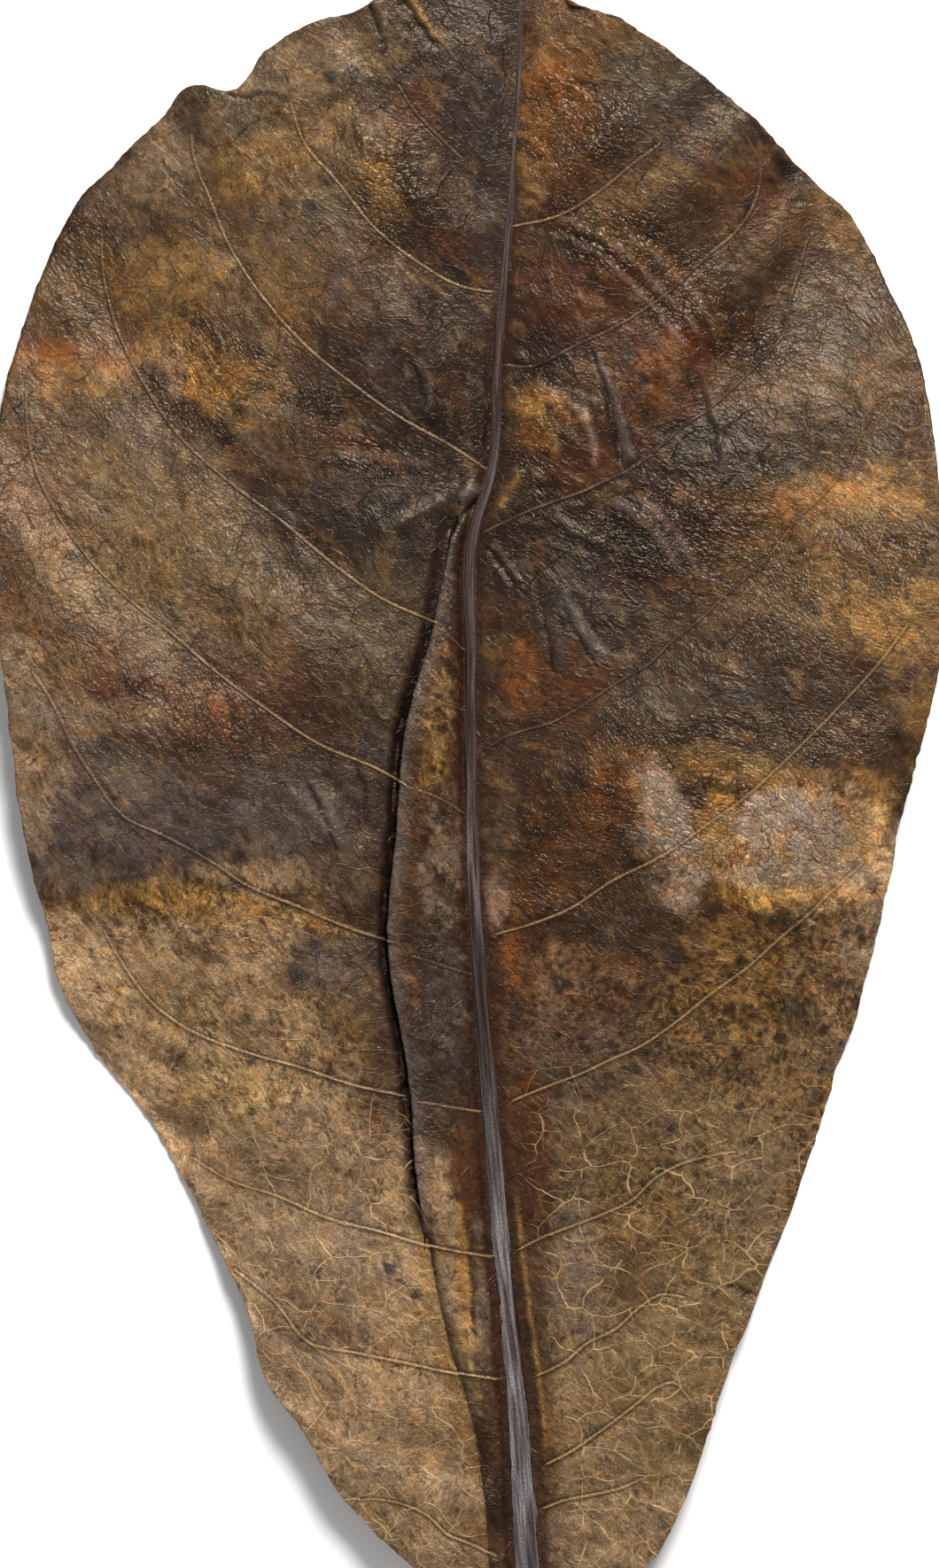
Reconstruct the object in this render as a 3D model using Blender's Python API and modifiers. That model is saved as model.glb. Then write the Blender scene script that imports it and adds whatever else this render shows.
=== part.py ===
"""A dried Indian almond leaf, lying flat with its tip towards +Y and its upper side up.

The blade is one grid whose rows run out from the midrib along the side veins. Its upper surface is
shaped by formula, and Solidify gives it its thickness, more of it under the midrib and the veins.
Lengths are in metres. Places on the blade are in plan units, x to the right and y down from above
the leaf, and UNIT turns them into metres.
"""

import math

import bmesh
import bpy
import numpy as np

MM = 0.001

# Driving dimensions
LEAF_WIDTH = 0.1338
BLADE_THICKNESS = 0.0006
DEEPEST_RIB = 0.0034
RIB_PROUD = 0.0003
VEIN_DEPTH = 0.0005
VEIN_RISE = 0.0004
QUILT_HEIGHT = 0.0008
STRIP_HEIGHT = 0.0015
CREASE_DEPTH = 0.0004
MARGIN_WAVE = 0.0003
CONTACT_SOFTNESS = 0.0003
SEAT_CATCH = 0.00008

# Shares that shape the relief: across the midrib, then along a row from the midrib (0) to the margin (1)
RIB_ROUNDING = 0.1
UNDERSIDE_ROUNDING = 0.35
RISE_POWER = 1.3
DOME_LEAN = 0.3
QUILT_START = 0.25
QUILT_FADE = 0.5
VEIN_START = 0.08
VEIN_FADE = 0.7
WAVE_START = 0.7
STRIP_ARCH = (0.08, 0.88)
WAVES_PER_VEIN = 1.7

# The plan, whose width across the widest rows gives the size of a unit
PLAN_WIDTH = 1070
PLAN_CENTRE = (529, 937)
UNIT = LEAF_WIDTH / PLAN_WIDTH
TIP_Y = -27
BASE_Y = 1798
PETIOLE_END_Y = 1901
REST_SPOT_Y = (760, 930)

# Midrib: plan y, plan x of its middle, half its width in units, its depth in mm, lift of its underside in mm
MIDRIB = [
    (-27, 590, 3, 0.8, 4.6),
    (150, 582, 4, 1.1, 2.8),
    (400, 562, 6, 1.5, 0.6),
    (545, 552, 7, 1.7, 0.0),
    (590, 537, 8, 1.8, 0.0),
    (750, 532, 8, 1.9, 0.0),
    (950, 533, 8, 2.0, 0.0),
    (1200, 549, 9, 2.2, 0.0),
    (1400, 566, 11, 2.5, 0.0),
    (1600, 587, 14, 2.8, 0.5),
    (1798, 597, 20, 3.4, 1.5),
    (1901, 606, 19, 3.2, 0.9),
]

# Crease of the pleat on the left of the midrib: plan y, distance from the midrib, how strong the pleat is
CREASE = [
    (-27, 52, 0.0),
    (500, 50, 0.0),
    (560, 20, 0.15),
    (620, 18, 0.5),
    (720, 36, 0.9),
    (850, 66, 1.0),
    (960, 77, 1.0),
    (1100, 93, 1.0),
    (1220, 86, 1.0),
    (1370, 86, 1.0),
    (1510, 74, 0.9),
    (1610, 50, 0.8),
    (1700, 30, 0.6),
    (1798, 24, 0.3),
]

# Rows of each half: row number, plan y at the midrib, plan y halfway out. Rows 1 to 11 are the side veins.
LEFT_ROWS = [
    (0, -27, -25), (1, 232, 157), (2, 338, 265), (3, 540, 418), (4, 727, 588), (5, 928, 775), (6, 1105, 995),
    (7, 1253, 1193), (8, 1424, 1373), (9, 1560, 1527), (10, 1660, 1630), (11, 1757, 1720), (12, 1798, 1810),
]
RIGHT_ROWS = [
    (0, -27, -15), (1, 200, 120), (2, 280, 210), (3, 412, 350), (4, 610, 490), (5, 850, 700), (6, 1060, 900),
    (7, 1245, 1112), (8, 1413, 1317), (9, 1560, 1470), (10, 1655, 1585), (11, 1706, 1680), (12, 1798, 1812),
]

# Margin of each half: row number, plan x, plan y
LEFT_MARGIN = [
    (0, 500, -20), (0.5, 440, -4), (1, 400, 16), (1.5, 345, 32), (2, 300, 60), (2.4, 252, 104),
    (2.5, 230, 98), (3, 180, 133), (3.5, 118, 189), (4, 76, 236), (4.25, 53, 282), (4.5, 34, 331),
    (4.75, 14, 398), (5, 2, 450), (5.5, -6, 560), (6, 3, 725), (6.25, 14, 820), (6.5, 22, 902), (7, 53, 1050),
    (7.25, 66, 1112), (7.5, 98, 1174), (8, 160, 1258), (8.5, 209, 1340), (9, 248, 1415), (9.5, 283, 1488),
    (10, 298, 1549), (10.5, 345, 1617), (11, 387, 1687), (11.5, 436, 1740), (12, 492, 1788),
]
RIGHT_MARGIN = [
    (0, 645, 10), (0.5, 688, 20), (1, 731, 46), (1.5, 769, 72), (2, 809, 101), (2.5, 856, 137), (3, 882, 162),
    (3.5, 924, 203), (4, 968, 246), (4.25, 992, 291), (4.5, 1009, 330), (5, 1039, 413), (5.5, 1057, 545),
    (6, 1064, 650), (6.5, 1053, 765), (7, 1027, 878), (7.25, 1015, 922), (7.5, 1008, 962), (8, 982, 1092),
    (8.25, 969, 1146), (8.5, 948, 1205), (8.75, 932, 1262), (9, 911, 1325), (9.25, 896, 1368),
    (9.5, 876, 1414), (10, 850, 1480), (10.5, 813, 1572), (11, 787, 1655), (11.5, 745, 1746), (12, 696, 1790),
]

# By row number, in mm: height of the upper surface at the margin, and how far the blade domes before it
LEFT_HEIGHTS = [
    (0, 6.0, 0.0), (1, 6.5, 0.6), (2, 5.5, 1.2), (3, 2.4, 2.4), (4, -0.8, 3.6), (5, 3.0, 3.0), (6, 7.5, 2.0),
    (7, 3.4, 3.0), (8, -0.8, 3.6), (9, 2.6, 2.6), (10, 5.5, 1.2), (11, 6.0, 0.6), (12, 5.2, 0.0),
]
RIGHT_HEIGHTS = [
    (0, 6.0, 0.0), (1, 6.2, 0.4), (2, 4.4, 1.2), (3, 1.6, 2.4), (4, -0.8, 3.2), (5, 4.0, 2.8), (6, 9.0, 1.8),
    (7, 7.2, 2.2), (8, 2.6, 3.0), (9, -0.8, 3.2), (10, 2.6, 2.2), (11, 5.0, 0.8), (12, 5.2, 0.0),
]

# Broad swells and hollows: plan x, plan y, reach in x, reach in y, height in mm
SWELLS = [
    (840, 920, 150, 110, 1.8),
    (230, 830, 150, 120, 1.4),
    (250, 1010, 110, 60, -1.0),
    (360, 560, 120, 90, -1.2),
    (720, 640, 110, 90, -1.2),
    (730, 170, 120, 80, 1.0),
    (400, 1480, 70, 120, 1.0),
    (660, 1480, 60, 110, 0.9),
    (880, 1180, 80, 80, -0.9),
]

# Columns: across the midrib, across the pleated strip, and from there to the margin
RIB_COLUMNS = (0.55, 1.0)
STRIP_COLUMNS = (0.3, 0.6, 0.86, 1.0)
LEFT_BLADE_COLUMNS = (0.03, 0.13, 0.26, 0.4, 0.54, 0.68, 0.82, 0.92, 1.0)
RIGHT_BLADE_COLUMNS = (0.06, 0.16, 0.27, 0.39, 0.51, 0.63, 0.75, 0.85, 0.93, 1.0)

# Rows, in plan units along the midrib: the foot of a vein's ridge, and the closest and widest spacing
FLANK = 11
CLOSEST_ROWS = 6.5
WIDEST_ROWS = 52
PETIOLE_STEPS = 6

LEAF_COLOUR = (0.16, 0.098, 0.06, 1)
LEAF_ROUGHNESS = 0.5
SHARP_ANGLE = math.radians(40)


def curve(table, column, at):
    """Smooth cubic through one column of a table whose first column increases."""
    table = np.array(table, float)
    knots, values = table[:, 0], table[:, column]
    slopes = np.gradient(values, knots)
    k = int(np.clip(np.searchsorted(knots, at, side="right") - 1, 0, len(knots) - 2))
    step = knots[k + 1] - knots[k]
    s = min(max((at - knots[k]) / step, 0.0), 1.0)
    return (
        (1 + 2 * s) * (1 - s) ** 2 * values[k]
        + s * (1 - s) ** 2 * step * slopes[k]
        + s * s * (3 - 2 * s) * values[k + 1]
        + s * s * (s - 1) * step * slopes[k + 1]
    )


def ease(value):
    """0 below 0, 1 above 1 and smooth between."""
    value = min(max(value, 0.0), 1.0)
    return value * value * (3 - 2 * value)


def arch(t):
    """A parabola that is 0 at both ends and 1 in the middle."""
    return 4 * t * (1 - t)


class Half:
    """One half of the blade, on the left or the right of the midrib."""

    def __init__(self, rows, margin, heights, wave_phase):
        self.rows = rows
        self.margin = margin
        self.heights = heights
        self.wave_phase = wave_phase

    def row_number(self, y):
        """Row that leaves the midrib at plan y."""
        numbers, starts, _ = zip(*self.rows)
        return float(np.interp(y, starts, numbers))

    def vein_shape(self, y):
        """1 on a side vein and 0 one flank away from it, along the midrib."""
        nearest = min(abs(y - start) for _, start, _ in self.rows[1:-1])
        return max(0.0, 1 - nearest / FLANK)

    def point(self, y, near, share=0.0):
        """Plan place on the row from y, a share of the way from near units off the midrib to the margin."""
        number = self.row_number(y)
        start = np.array([curve(MIDRIB, 1, y), y])
        end = np.array([curve(self.margin, 1, number), curve(self.margin, 2, number)])
        middle = np.array([(start[0] + end[0]) / 2, curve(self.rows, 2, number)])
        reach = abs(end[0] - start[0])
        t = (near + share * (reach - near)) / reach
        place = start * (2 * t - 1) * (t - 1) + middle * arch(t) + end * t * (2 * t - 1)
        return place, t

    def height(self, y, t, place):
        """Height of the upper surface in metres, before the midrib, pleat and contact are added."""
        number = self.row_number(y)
        level = rib_top(y, 0.0) - RIB_PROUD
        edge = curve(self.heights, 1, number) * MM
        dome = curve(self.heights, 2, number) * MM
        swell = 0.0
        for x, swell_y, reach_x, reach_y, rise in SWELLS:
            away = ((place[0] - x) / reach_x) ** 2 + ((place[1] - swell_y) / reach_y) ** 2
            swell += rise * MM * math.exp(-away)
        quilt = math.sin(math.pi * number) ** 2 * ease(t / QUILT_START) * (1 - QUILT_FADE * t)
        wave = math.sin(math.tau * WAVES_PER_VEIN * number + self.wave_phase)
        wave *= ease((t - WAVE_START) / (1 - WAVE_START))
        ridge = self.vein_shape(y) * ease(t / VEIN_START) * (1 - VEIN_FADE * t)
        broad = level + (edge - level) * t**RISE_POWER + dome * arch(t) * (1 - DOME_LEAN * t) + swell
        return broad + QUILT_HEIGHT * quilt + MARGIN_WAVE * wave + VEIN_RISE * ridge


LEFT = Half(LEFT_ROWS, LEFT_MARGIN, LEFT_HEIGHTS, wave_phase=-1)
RIGHT = Half(RIGHT_ROWS, RIGHT_MARGIN, RIGHT_HEIGHTS, wave_phase=1)


def row_starts():
    """Plan y at the midrib of each row, from the base up: both halves' veins, flanks and rows between."""
    veins = [start for half in (LEFT, RIGHT) for _, start, _ in half.rows[1:-1]]
    wanted = sorted({TIP_Y, BASE_Y, *veins, *(y + FLANK for y in veins), *(y - FLANK for y in veins)})
    kept = [TIP_Y]
    for y in wanted[1:]:
        gap = y - kept[-1]
        if gap >= CLOSEST_ROWS or y in veins:
            parts = math.ceil(gap / WIDEST_ROWS)
            kept += [kept[-1] + gap * part / parts for part in range(1, parts + 1)]
    kept[-1] = BASE_Y
    return kept[::-1]


def columns():
    """Every column from the left margin to the right, as (half, zone, share)."""
    left = [(LEFT, "rib", share) for share in RIB_COLUMNS]
    left += [(LEFT, "strip", share) for share in STRIP_COLUMNS]
    left += [(LEFT, "blade", share) for share in LEFT_BLADE_COLUMNS]
    right = [(RIGHT, "rib", share) for share in RIB_COLUMNS]
    right += [(RIGHT, "blade", share) for share in RIGHT_BLADE_COLUMNS]
    return left[::-1] + [(LEFT, "rib", 0.0)] + right


def rib_top(y, share):
    """Height of the midrib's upper face, a little rounded across."""
    return (curve(MIDRIB, 3, y) + curve(MIDRIB, 4, y)) * MM * (1 - RIB_ROUNDING * share**2)


def rib_depth(y, share):
    """Depth of leaf under the midrib: its underside is round across, but flat along the spot it rests on."""
    start, end = REST_SPOT_Y
    rounding = RIB_ROUNDING if start <= y <= end else UNDERSIDE_ROUNDING
    return curve(MIDRIB, 3, y) * MM * (1 - rounding * share**2)


def in_metres(x, y, height):
    """World place of a plan place and a height in metres."""
    return ((x - PLAN_CENTRE[0]) * UNIT, (PLAN_CENTRE[1] - y) * UNIT, height)


def above_table(height, thickness):
    """Keeps the underside above z = 0 without a kink."""
    excess = (height - thickness) / CONTACT_SOFTNESS
    return thickness + CONTACT_SOFTNESS * float(np.logaddexp(0, excess))


def surface_point(y, half, zone, share):
    """World place on the upper surface, and the thickness of leaf under it, both in metres."""
    half_width = curve(MIDRIB, 2, y)
    crease = half_width + curve(CREASE, 1, y)
    pleat = curve(CREASE, 2, y)
    thickness = BLADE_THICKNESS
    fold = 0.0
    if zone == "rib":
        place, _ = half.point(y, half_width * share)
        return in_metres(place[0], y, rib_top(y, share)), rib_depth(y, share)
    if zone == "strip":
        place, t = half.point(y, half_width + (crease - half_width) * share)
        start, end = STRIP_ARCH
        arched = STRIP_HEIGHT * math.sin(math.pi * (start + (end - start) * share))
        fold = pleat * (arched if share < 1 else -CREASE_DEPTH)
    else:
        place, t = half.point(y, crease if half is LEFT else half_width, share)
    thickness += VEIN_DEPTH * half.vein_shape(y) * (1 - VEIN_FADE * t)
    height = above_table(half.height(y, t, place) + fold, thickness)
    return in_metres(*place, height), thickness


def grid_surface():
    """The open upper surface as a grid, and the thickness under each of its vertices."""
    starts, across = row_starts(), columns()
    mesh = bmesh.new()
    depth = mesh.verts.layers.float.new("depth")
    last_column, last_row = len(across) - 1, len(starts) - 1
    bmesh.ops.create_grid(mesh, x_segments=last_column, y_segments=last_row, size=0.5)
    foot = []
    for vertex in mesh.verts:
        column = round((vertex.co.x + 0.5) * last_column)
        row = round((vertex.co.y + 0.5) * last_row)
        half, zone, share = across[column]
        vertex.co, vertex[depth] = surface_point(starts[row], half, zone, share)
        if row == 0 and zone == "rib":
            foot.append(vertex)
    add_petiole(mesh, depth, foot)
    bmesh.ops.triangulate(mesh, faces=mesh.faces[:], quad_method="SHORT_EDGE")
    return mesh, depth


def add_petiole(mesh, depth, foot):
    """Draws the foot of the midrib out into the short stalk."""
    edges = [edge for edge in mesh.edges if edge.is_boundary and set(edge.verts) <= set(foot)]
    inner, outer = RIB_COLUMNS
    shares = (-outer, -inner, 0.0, inner, outer)
    for step in range(1, PETIOLE_STEPS + 1):
        y = BASE_Y + (PETIOLE_END_Y - BASE_Y) * step / PETIOLE_STEPS
        made = bmesh.ops.extrude_edge_only(mesh, edges=edges)["geom"]
        edges = [item for item in made if isinstance(item, bmesh.types.BMEdge) and item.is_boundary]
        ends = {item for item in made if isinstance(item, bmesh.types.BMVert)}
        edges = [edge for edge in edges if set(edge.verts) <= ends]
        for vertex, share in zip(sorted(ends, key=lambda vertex: vertex.co.x), shares):
            x = curve(MIDRIB, 1, y) + share * curve(MIDRIB, 2, y)
            vertex.co = in_metres(x, y, rib_top(y, share))
            vertex[depth] = rib_depth(y, share)


def leaf_material():
    material = bpy.data.materials.new("dried leaf")
    material.use_nodes = True
    shader = material.node_tree.nodes["Principled BSDF"]
    shader.inputs["Base Color"].default_value = LEAF_COLOUR
    shader.inputs["Roughness"].default_value = LEAF_ROUGHNESS
    shader.inputs["Metallic"].default_value = 0.0
    return material


def build_leaf(collection):
    """The leaf as one closed solid: its upper surface with its own thickness under every vertex."""
    surface, depth = grid_surface()
    thicknesses = [vertex[depth] / DEEPEST_RIB for vertex in surface.verts]
    mesh = bpy.data.meshes.new("leaf")
    surface.to_mesh(mesh)
    surface.free()
    leaf = bpy.data.objects.new("leaf", mesh)
    collection.objects.link(leaf)

    group = leaf.vertex_groups.new(name="depth")
    for index, weight in enumerate(thicknesses):
        group.add([index], min(weight, 1.0), "REPLACE")
    solidify = leaf.modifiers.new("thickness", "SOLIDIFY")
    solidify.thickness = DEEPEST_RIB
    solidify.offset = -1
    solidify.vertex_group = group.name
    bpy.context.view_layer.update()
    solid = bpy.data.meshes.new_from_object(leaf.evaluated_get(bpy.context.evaluated_depsgraph_get()))
    leaf.modifiers.remove(solidify)
    leaf.data = solid
    bpy.data.meshes.remove(mesh)
    seat(solid)
    solid.materials.append(leaf_material())
    solid.shade_smooth()
    solid.set_sharp_from_angle(angle=SHARP_ANGLE)
    return leaf


def seat(mesh):
    """Sets the lowest places of the underside on one plane, z = 0, on which the leaf rests."""
    for vertex in mesh.vertices:
        if vertex.co.z < SEAT_CATCH:
            vertex.co.z = 0.0


def main():
    for existing in list(bpy.data.objects):
        bpy.data.objects.remove(existing)
    collection = bpy.data.collections.new("indian almond leaf")
    bpy.context.scene.collection.children.link(collection)
    build_leaf(collection)


main()
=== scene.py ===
"""Looks of the dried Indian almond leaf: one sheet for each half of its blade, and its midrib.

Places in the plan are pixels of the photograph, x to the right and y down. Heights are in millimetres
until a mesh is made. Colours are as they look, from 0 to 255.
"""

import math

import bpy
import numpy as np
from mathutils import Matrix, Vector

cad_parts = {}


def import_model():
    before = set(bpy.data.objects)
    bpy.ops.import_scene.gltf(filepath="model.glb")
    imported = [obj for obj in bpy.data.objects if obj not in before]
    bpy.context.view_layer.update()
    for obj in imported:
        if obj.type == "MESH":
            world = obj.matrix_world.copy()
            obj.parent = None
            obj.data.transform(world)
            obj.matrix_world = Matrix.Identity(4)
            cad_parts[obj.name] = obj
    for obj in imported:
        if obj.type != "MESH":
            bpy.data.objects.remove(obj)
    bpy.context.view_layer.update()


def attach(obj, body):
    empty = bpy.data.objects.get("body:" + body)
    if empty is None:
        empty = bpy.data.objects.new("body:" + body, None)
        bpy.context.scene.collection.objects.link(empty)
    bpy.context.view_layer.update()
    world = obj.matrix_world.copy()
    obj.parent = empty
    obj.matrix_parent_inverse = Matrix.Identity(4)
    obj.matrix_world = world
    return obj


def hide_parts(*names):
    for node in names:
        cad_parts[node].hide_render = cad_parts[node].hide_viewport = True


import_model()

MM = 0.001
TAU = math.tau

# The plan's scale, middle and ends, as in the part
UNIT = 0.1338 / 1070
PLAN_CENTRE = (529, 937)
TIP_Y = -27
STALK_END_Y = 1901

# Midrib: plan y, x of its middle, half width, depth, and lift of its underside
MIDRIB = [
    (-27, 590, 3, 0.8, 4.6), (150, 582, 4, 1.1, 2.8), (400, 562, 6, 1.5, 0.6), (545, 552, 7, 1.7, 0.0),
    (590, 537, 8, 1.8, 0.0), (750, 532, 8, 1.9, 0.0), (950, 533, 8, 2.0, 0.0), (1200, 549, 11, 2.2, 0.0),
    (1400, 565, 14, 2.5, 0.0), (1600, 586, 17, 2.8, 0.5), (1798, 597, 20, 3.4, 1.5),
    (1901, 606, 19, 3.2, 0.9),
]

# Crease of the pleat: plan y, distance from the midrib's edge, and how strongly the sheet is pleated
CREASE = [
    (-27, 52, 0.0), (500, 50, 0.0), (560, 20, 0.15), (620, 18, 0.5), (720, 36, 0.9), (850, 66, 1.0),
    (960, 77, 1.0), (1100, 93, 1.0), (1220, 79, 1.0), (1370, 74, 1.0), (1510, 59, 0.9), (1610, 37, 0.8),
    (1700, 26, 0.6), (1798, 24, 0.3),
]

# Rows: number, plan y at the midrib, plan y halfway out. Rows 1 to 11 follow the side veins
LEFT_ROWS = [
    (0, -27, -25), (1, 232, 157), (2, 338, 265), (3, 540, 418), (4, 727, 588), (5, 928, 775),
    (6, 1105, 995), (7, 1253, 1193), (8, 1424, 1373), (9, 1560, 1527), (10, 1660, 1630), (11, 1757, 1720),
    (12, 1798, 1810),
]
RIGHT_ROWS = [
    (0, -27, -15), (1, 200, 120), (2, 280, 210), (3, 412, 350), (4, 610, 490), (5, 850, 700),
    (6, 1060, 900), (7, 1245, 1112), (8, 1413, 1317), (9, 1560, 1470), (10, 1655, 1585), (11, 1706, 1680),
    (12, 1798, 1812),
]

# Margin: row number, x and y
LEFT_MARGIN = [
    (0, 500, -20), (0.5, 440, -4), (1, 400, 16), (1.5, 345, 32), (2, 300, 60), (2.4, 252, 104),
    (2.5, 230, 98), (3, 180, 133), (3.5, 118, 189), (4, 76, 236), (4.25, 53, 282), (4.5, 34, 331),
    (4.75, 14, 398), (5, 2, 450), (5.5, -6, 560), (6, 3, 725), (6.25, 14, 820), (6.5, 22, 902), (7, 53, 1050),
    (7.25, 66, 1112), (7.5, 98, 1174), (8, 160, 1258), (8.5, 209, 1340), (9, 248, 1415), (9.5, 283, 1488),
    (10, 298, 1549), (10.5, 345, 1617), (11, 387, 1687), (11.5, 436, 1740), (12, 492, 1788),
]
RIGHT_MARGIN = [
    (0, 645, 10), (0.5, 688, 20), (1, 731, 46), (1.5, 769, 72), (2, 809, 101), (2.5, 856, 137), (3, 882, 162),
    (3.5, 924, 203), (4, 968, 246), (4.25, 992, 291), (4.5, 1009, 330), (5, 1039, 413), (5.5, 1057, 545),
    (6, 1064, 650), (6.5, 1053, 765), (7, 1027, 878), (7.25, 1015, 922), (7.5, 1008, 962), (8, 982, 1092),
    (8.25, 969, 1146), (8.5, 948, 1205), (8.75, 932, 1262), (9, 911, 1325), (9.25, 896, 1368),
    (9.5, 876, 1414), (10, 850, 1480), (10.5, 813, 1572), (11, 787, 1655), (11.5, 745, 1746), (12, 696, 1790),
]

# By row number: height of the margin, and how far the sheet domes between midrib and margin
LEFT_HEIGHTS = [
    (0, 6.0, 0.0), (1, 6.5, 0.6), (2, 5.5, 1.2), (3, 2.4, 2.4), (4, -0.8, 3.6), (5, 3.0, 3.0),
    (6, 7.5, 2.0), (7, 3.4, 3.0), (8, -0.8, 3.6), (9, 2.6, 2.6), (10, 5.5, 1.2), (11, 6.0, 0.6),
    (12, 5.2, 0.0),
]
RIGHT_HEIGHTS = [
    (0, 6.0, 0.0), (1, 6.2, 0.4), (2, 4.4, 1.2), (3, 1.6, 2.4), (4, -0.8, 3.2), (5, 4.0, 2.8),
    (6, 9.0, 1.8), (7, 7.2, 2.2), (8, 2.6, 3.0), (9, -0.8, 3.2), (10, 2.6, 2.2), (11, 5.0, 0.8),
    (12, 5.2, 0.0),
]

# Swells of the sheet: x, y, reach along x, reach along y, height
SWELLS = [
    (840, 920, 150, 110, 1.8), (230, 830, 150, 120, 1.4), (250, 1010, 110, 60, -1.0),
    (360, 560, 120, 90, -1.2), (720, 640, 110, 90, -1.2), (730, 170, 120, 80, 1.0),
    (400, 1480, 70, 120, 1.0), (660, 1480, 60, 110, 0.9), (880, 1180, 80, 80, -0.9),
]

RIB_PROUD = 0.3
RISE_POWER = 1.3
DOME_LEAN = 0.3
QUILT_HEIGHT = 0.8
QUILT_START = 0.25
QUILT_FADE = 0.5
MARGIN_WAVE = 0.2
WAVE_START = 0.7
WAVES_PER_VEIN = 1.7
SHEET_THICKNESS = 0.3
CONTACT_SOFTNESS = 0.25
TABLE_GAP = 0.15
LOWEST_UPPER = 0.12

# How finely the sheets are cut: rows and columns of cells. Each sheet's are whole multiples of the
# underside's coarser cells
ROWS = 560
UNDERSIDE_CELLS = 4
RIB_CELLS = 2
STRIP_CELLS = 24
FOLD_CELLS = 14
LEFT_BLADE_CELLS = 124
RIGHT_BLADE_CELLS = 162
RIB_INSET = 0.45

# Section of the fold: distance from the crease towards the midrib, and height as a share of the lip's height.
# It goes from the blade to the strip beside the midrib, first where the strip lies on the blade, then where
# the blade lies on the strip
STRIP_ON_BLADE = [
    (-14.0, 0.0), (-10.0, -0.26), (-6.0, -0.5), (-1.0, -0.6), (3.0, -0.58), (6.2, -0.48), (7.2, -0.28),
    (6.2, -0.1), (3.5, 0.03), (1.0, 0.2), (-0.6, 0.48), (-0.2, 0.74), (2.5, 0.92), (8.0, 0.98), (20.0, 1.0),
]
BLADE_ON_STRIP = [
    (-14.0, 0.6), (-8.0, 0.76), (-3.0, 0.84), (0.0, 0.8), (2.2, 0.62), (2.8, 0.4), (1.5, 0.2), (-1.5, 0.1),
    (-5.0, 0.04), (-6.5, -0.1), (-5.0, -0.26), (-1.0, -0.36), (4.0, -0.34), (11.0, -0.2), (20.0, 0.0),
]
FOLD_OUT = 14
FOLD_IN = 20
LIP_HEIGHT = 1.45
LOW_LIP_HEIGHT = 0.75
LOW_STRIP_HEIGHT = 0.45
LIP_FALL = 45
CREASE_SHADE = 14

# Start and length of the swap of the two ways of lying, and of the strip's own colours
SWAP_SPAN = (1365, 70)
STRIP_SPAN = (560, 40)

# How dark the painted shadow in the fold's gap is at each point of its section, and how much each point
# belongs to the lip with its painted highlight, for the two ways of lying
GAP_SHADOW_STRIP_ON_BLADE = (0.3, 0.7, 0.95, 1, 1, 1, 1, 1, 1, 1, 0.6, 0.1, 0, 0, 0)
GAP_SHADOW_BLADE_ON_STRIP = (0, 0, 0, 0, 0.2, 0.7, 1, 1, 1, 1, 1, 1, 0.9, 0.45, 0.1)
LIP_HIGHLIGHT_STRIP_ON_BLADE = (0, 0, 0, 0, 0, 0, 0, 0, 0, 0, 0.4, 1, 0.9, 0.35, 0)
LIP_HIGHLIGHT_BLADE_ON_STRIP = (0.8, 1, 1, 1, 0.8, 0.3, 0, 0, 0, 0, 0, 0, 0, 0, 0)

# Side veins: path from the midrib outwards, width, height, colour near the midrib and colour further out
LEFT_VEINS = [
    ([(520, 178), (495, 155), (470, 130), (450, 100)], 3.0, 0.12, "slate", "umber"),
    ([(555, 328), (530, 325), (470, 295), (420, 255), (380, 205), (345, 165), (328, 118)],
     3.6, 0.30, "tan", "vein_tan"),
    ([(550, 528), (505, 500), (450, 470), (400, 435), (350, 395), (300, 340), (260, 280), (235, 220),
      (218, 175), (215, 150)], 4.0, 0.34, "slate_tan", "slate_tan"),
    ([(493, 703), (430, 675), (380, 640), (320, 590), (260, 545), (200, 490),
      (160, 430), (130, 370), (113, 300), (112, 260)], 4.2, 0.36, "vein_tan", "slate"),
    ([(458, 886), (430, 870), (360, 840), (300, 800), (240, 755), (200, 720),
      (150, 680), (100, 630), (65, 580), (40, 530), (30, 480), (28, 440)],
     4.2, 0.36, "vein_tan", "slate_tan"),
    ([(444, 1064), (400, 1050), (340, 1025), (280, 1000), (235, 970), (190, 945),
      (140, 920), (110, 880), (85, 840), (60, 790), (40, 760)], 4.2, 0.34, "slate_tan", "slate"),
    ([(458, 1238), (400, 1225), (340, 1205), (270, 1185), (210, 1160), (170, 1130), (140, 1090),
      (118, 1050)], 4.2, 0.34, "vein_tan", "vein_tan"),
    ([(555, 1420), (480, 1405), (430, 1390), (370, 1375), (310, 1350), (260, 1335), (215, 1310)],
     4.0, 0.32, "vein_gold", "vein_gold"),
    ([(560, 1557), (515, 1550), (470, 1540), (400, 1525), (350, 1515), (310, 1470), (265, 1435)],
     3.6, 0.28, "vein_gold", "vein_gold"),
    ([(560, 1755), (530, 1740), (505, 1730), (485, 1710), (430, 1690), (405, 1690)],
     3.0, 0.18, "vein_gold", "vein_gold"),
]
STRIP_VEINS = [
    ([(528, 735), (512, 722), (500, 712)], 2.4, 0.14, "slate", "slate"),
    ([(528, 802), (505, 796), (484, 786)], 2.4, 0.14, "umber", "umber"),
    ([(524, 918), (500, 903), (474, 893)], 2.6, 0.18, "umber", "slate"),
    ([(536, 1102), (505, 1092), (466, 1080)], 2.8, 0.2, "umber", "slate"),
    ([(542, 1256), (510, 1250), (474, 1243)], 3.0, 0.2, "vein_tan", "slate_tan"),
]
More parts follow.
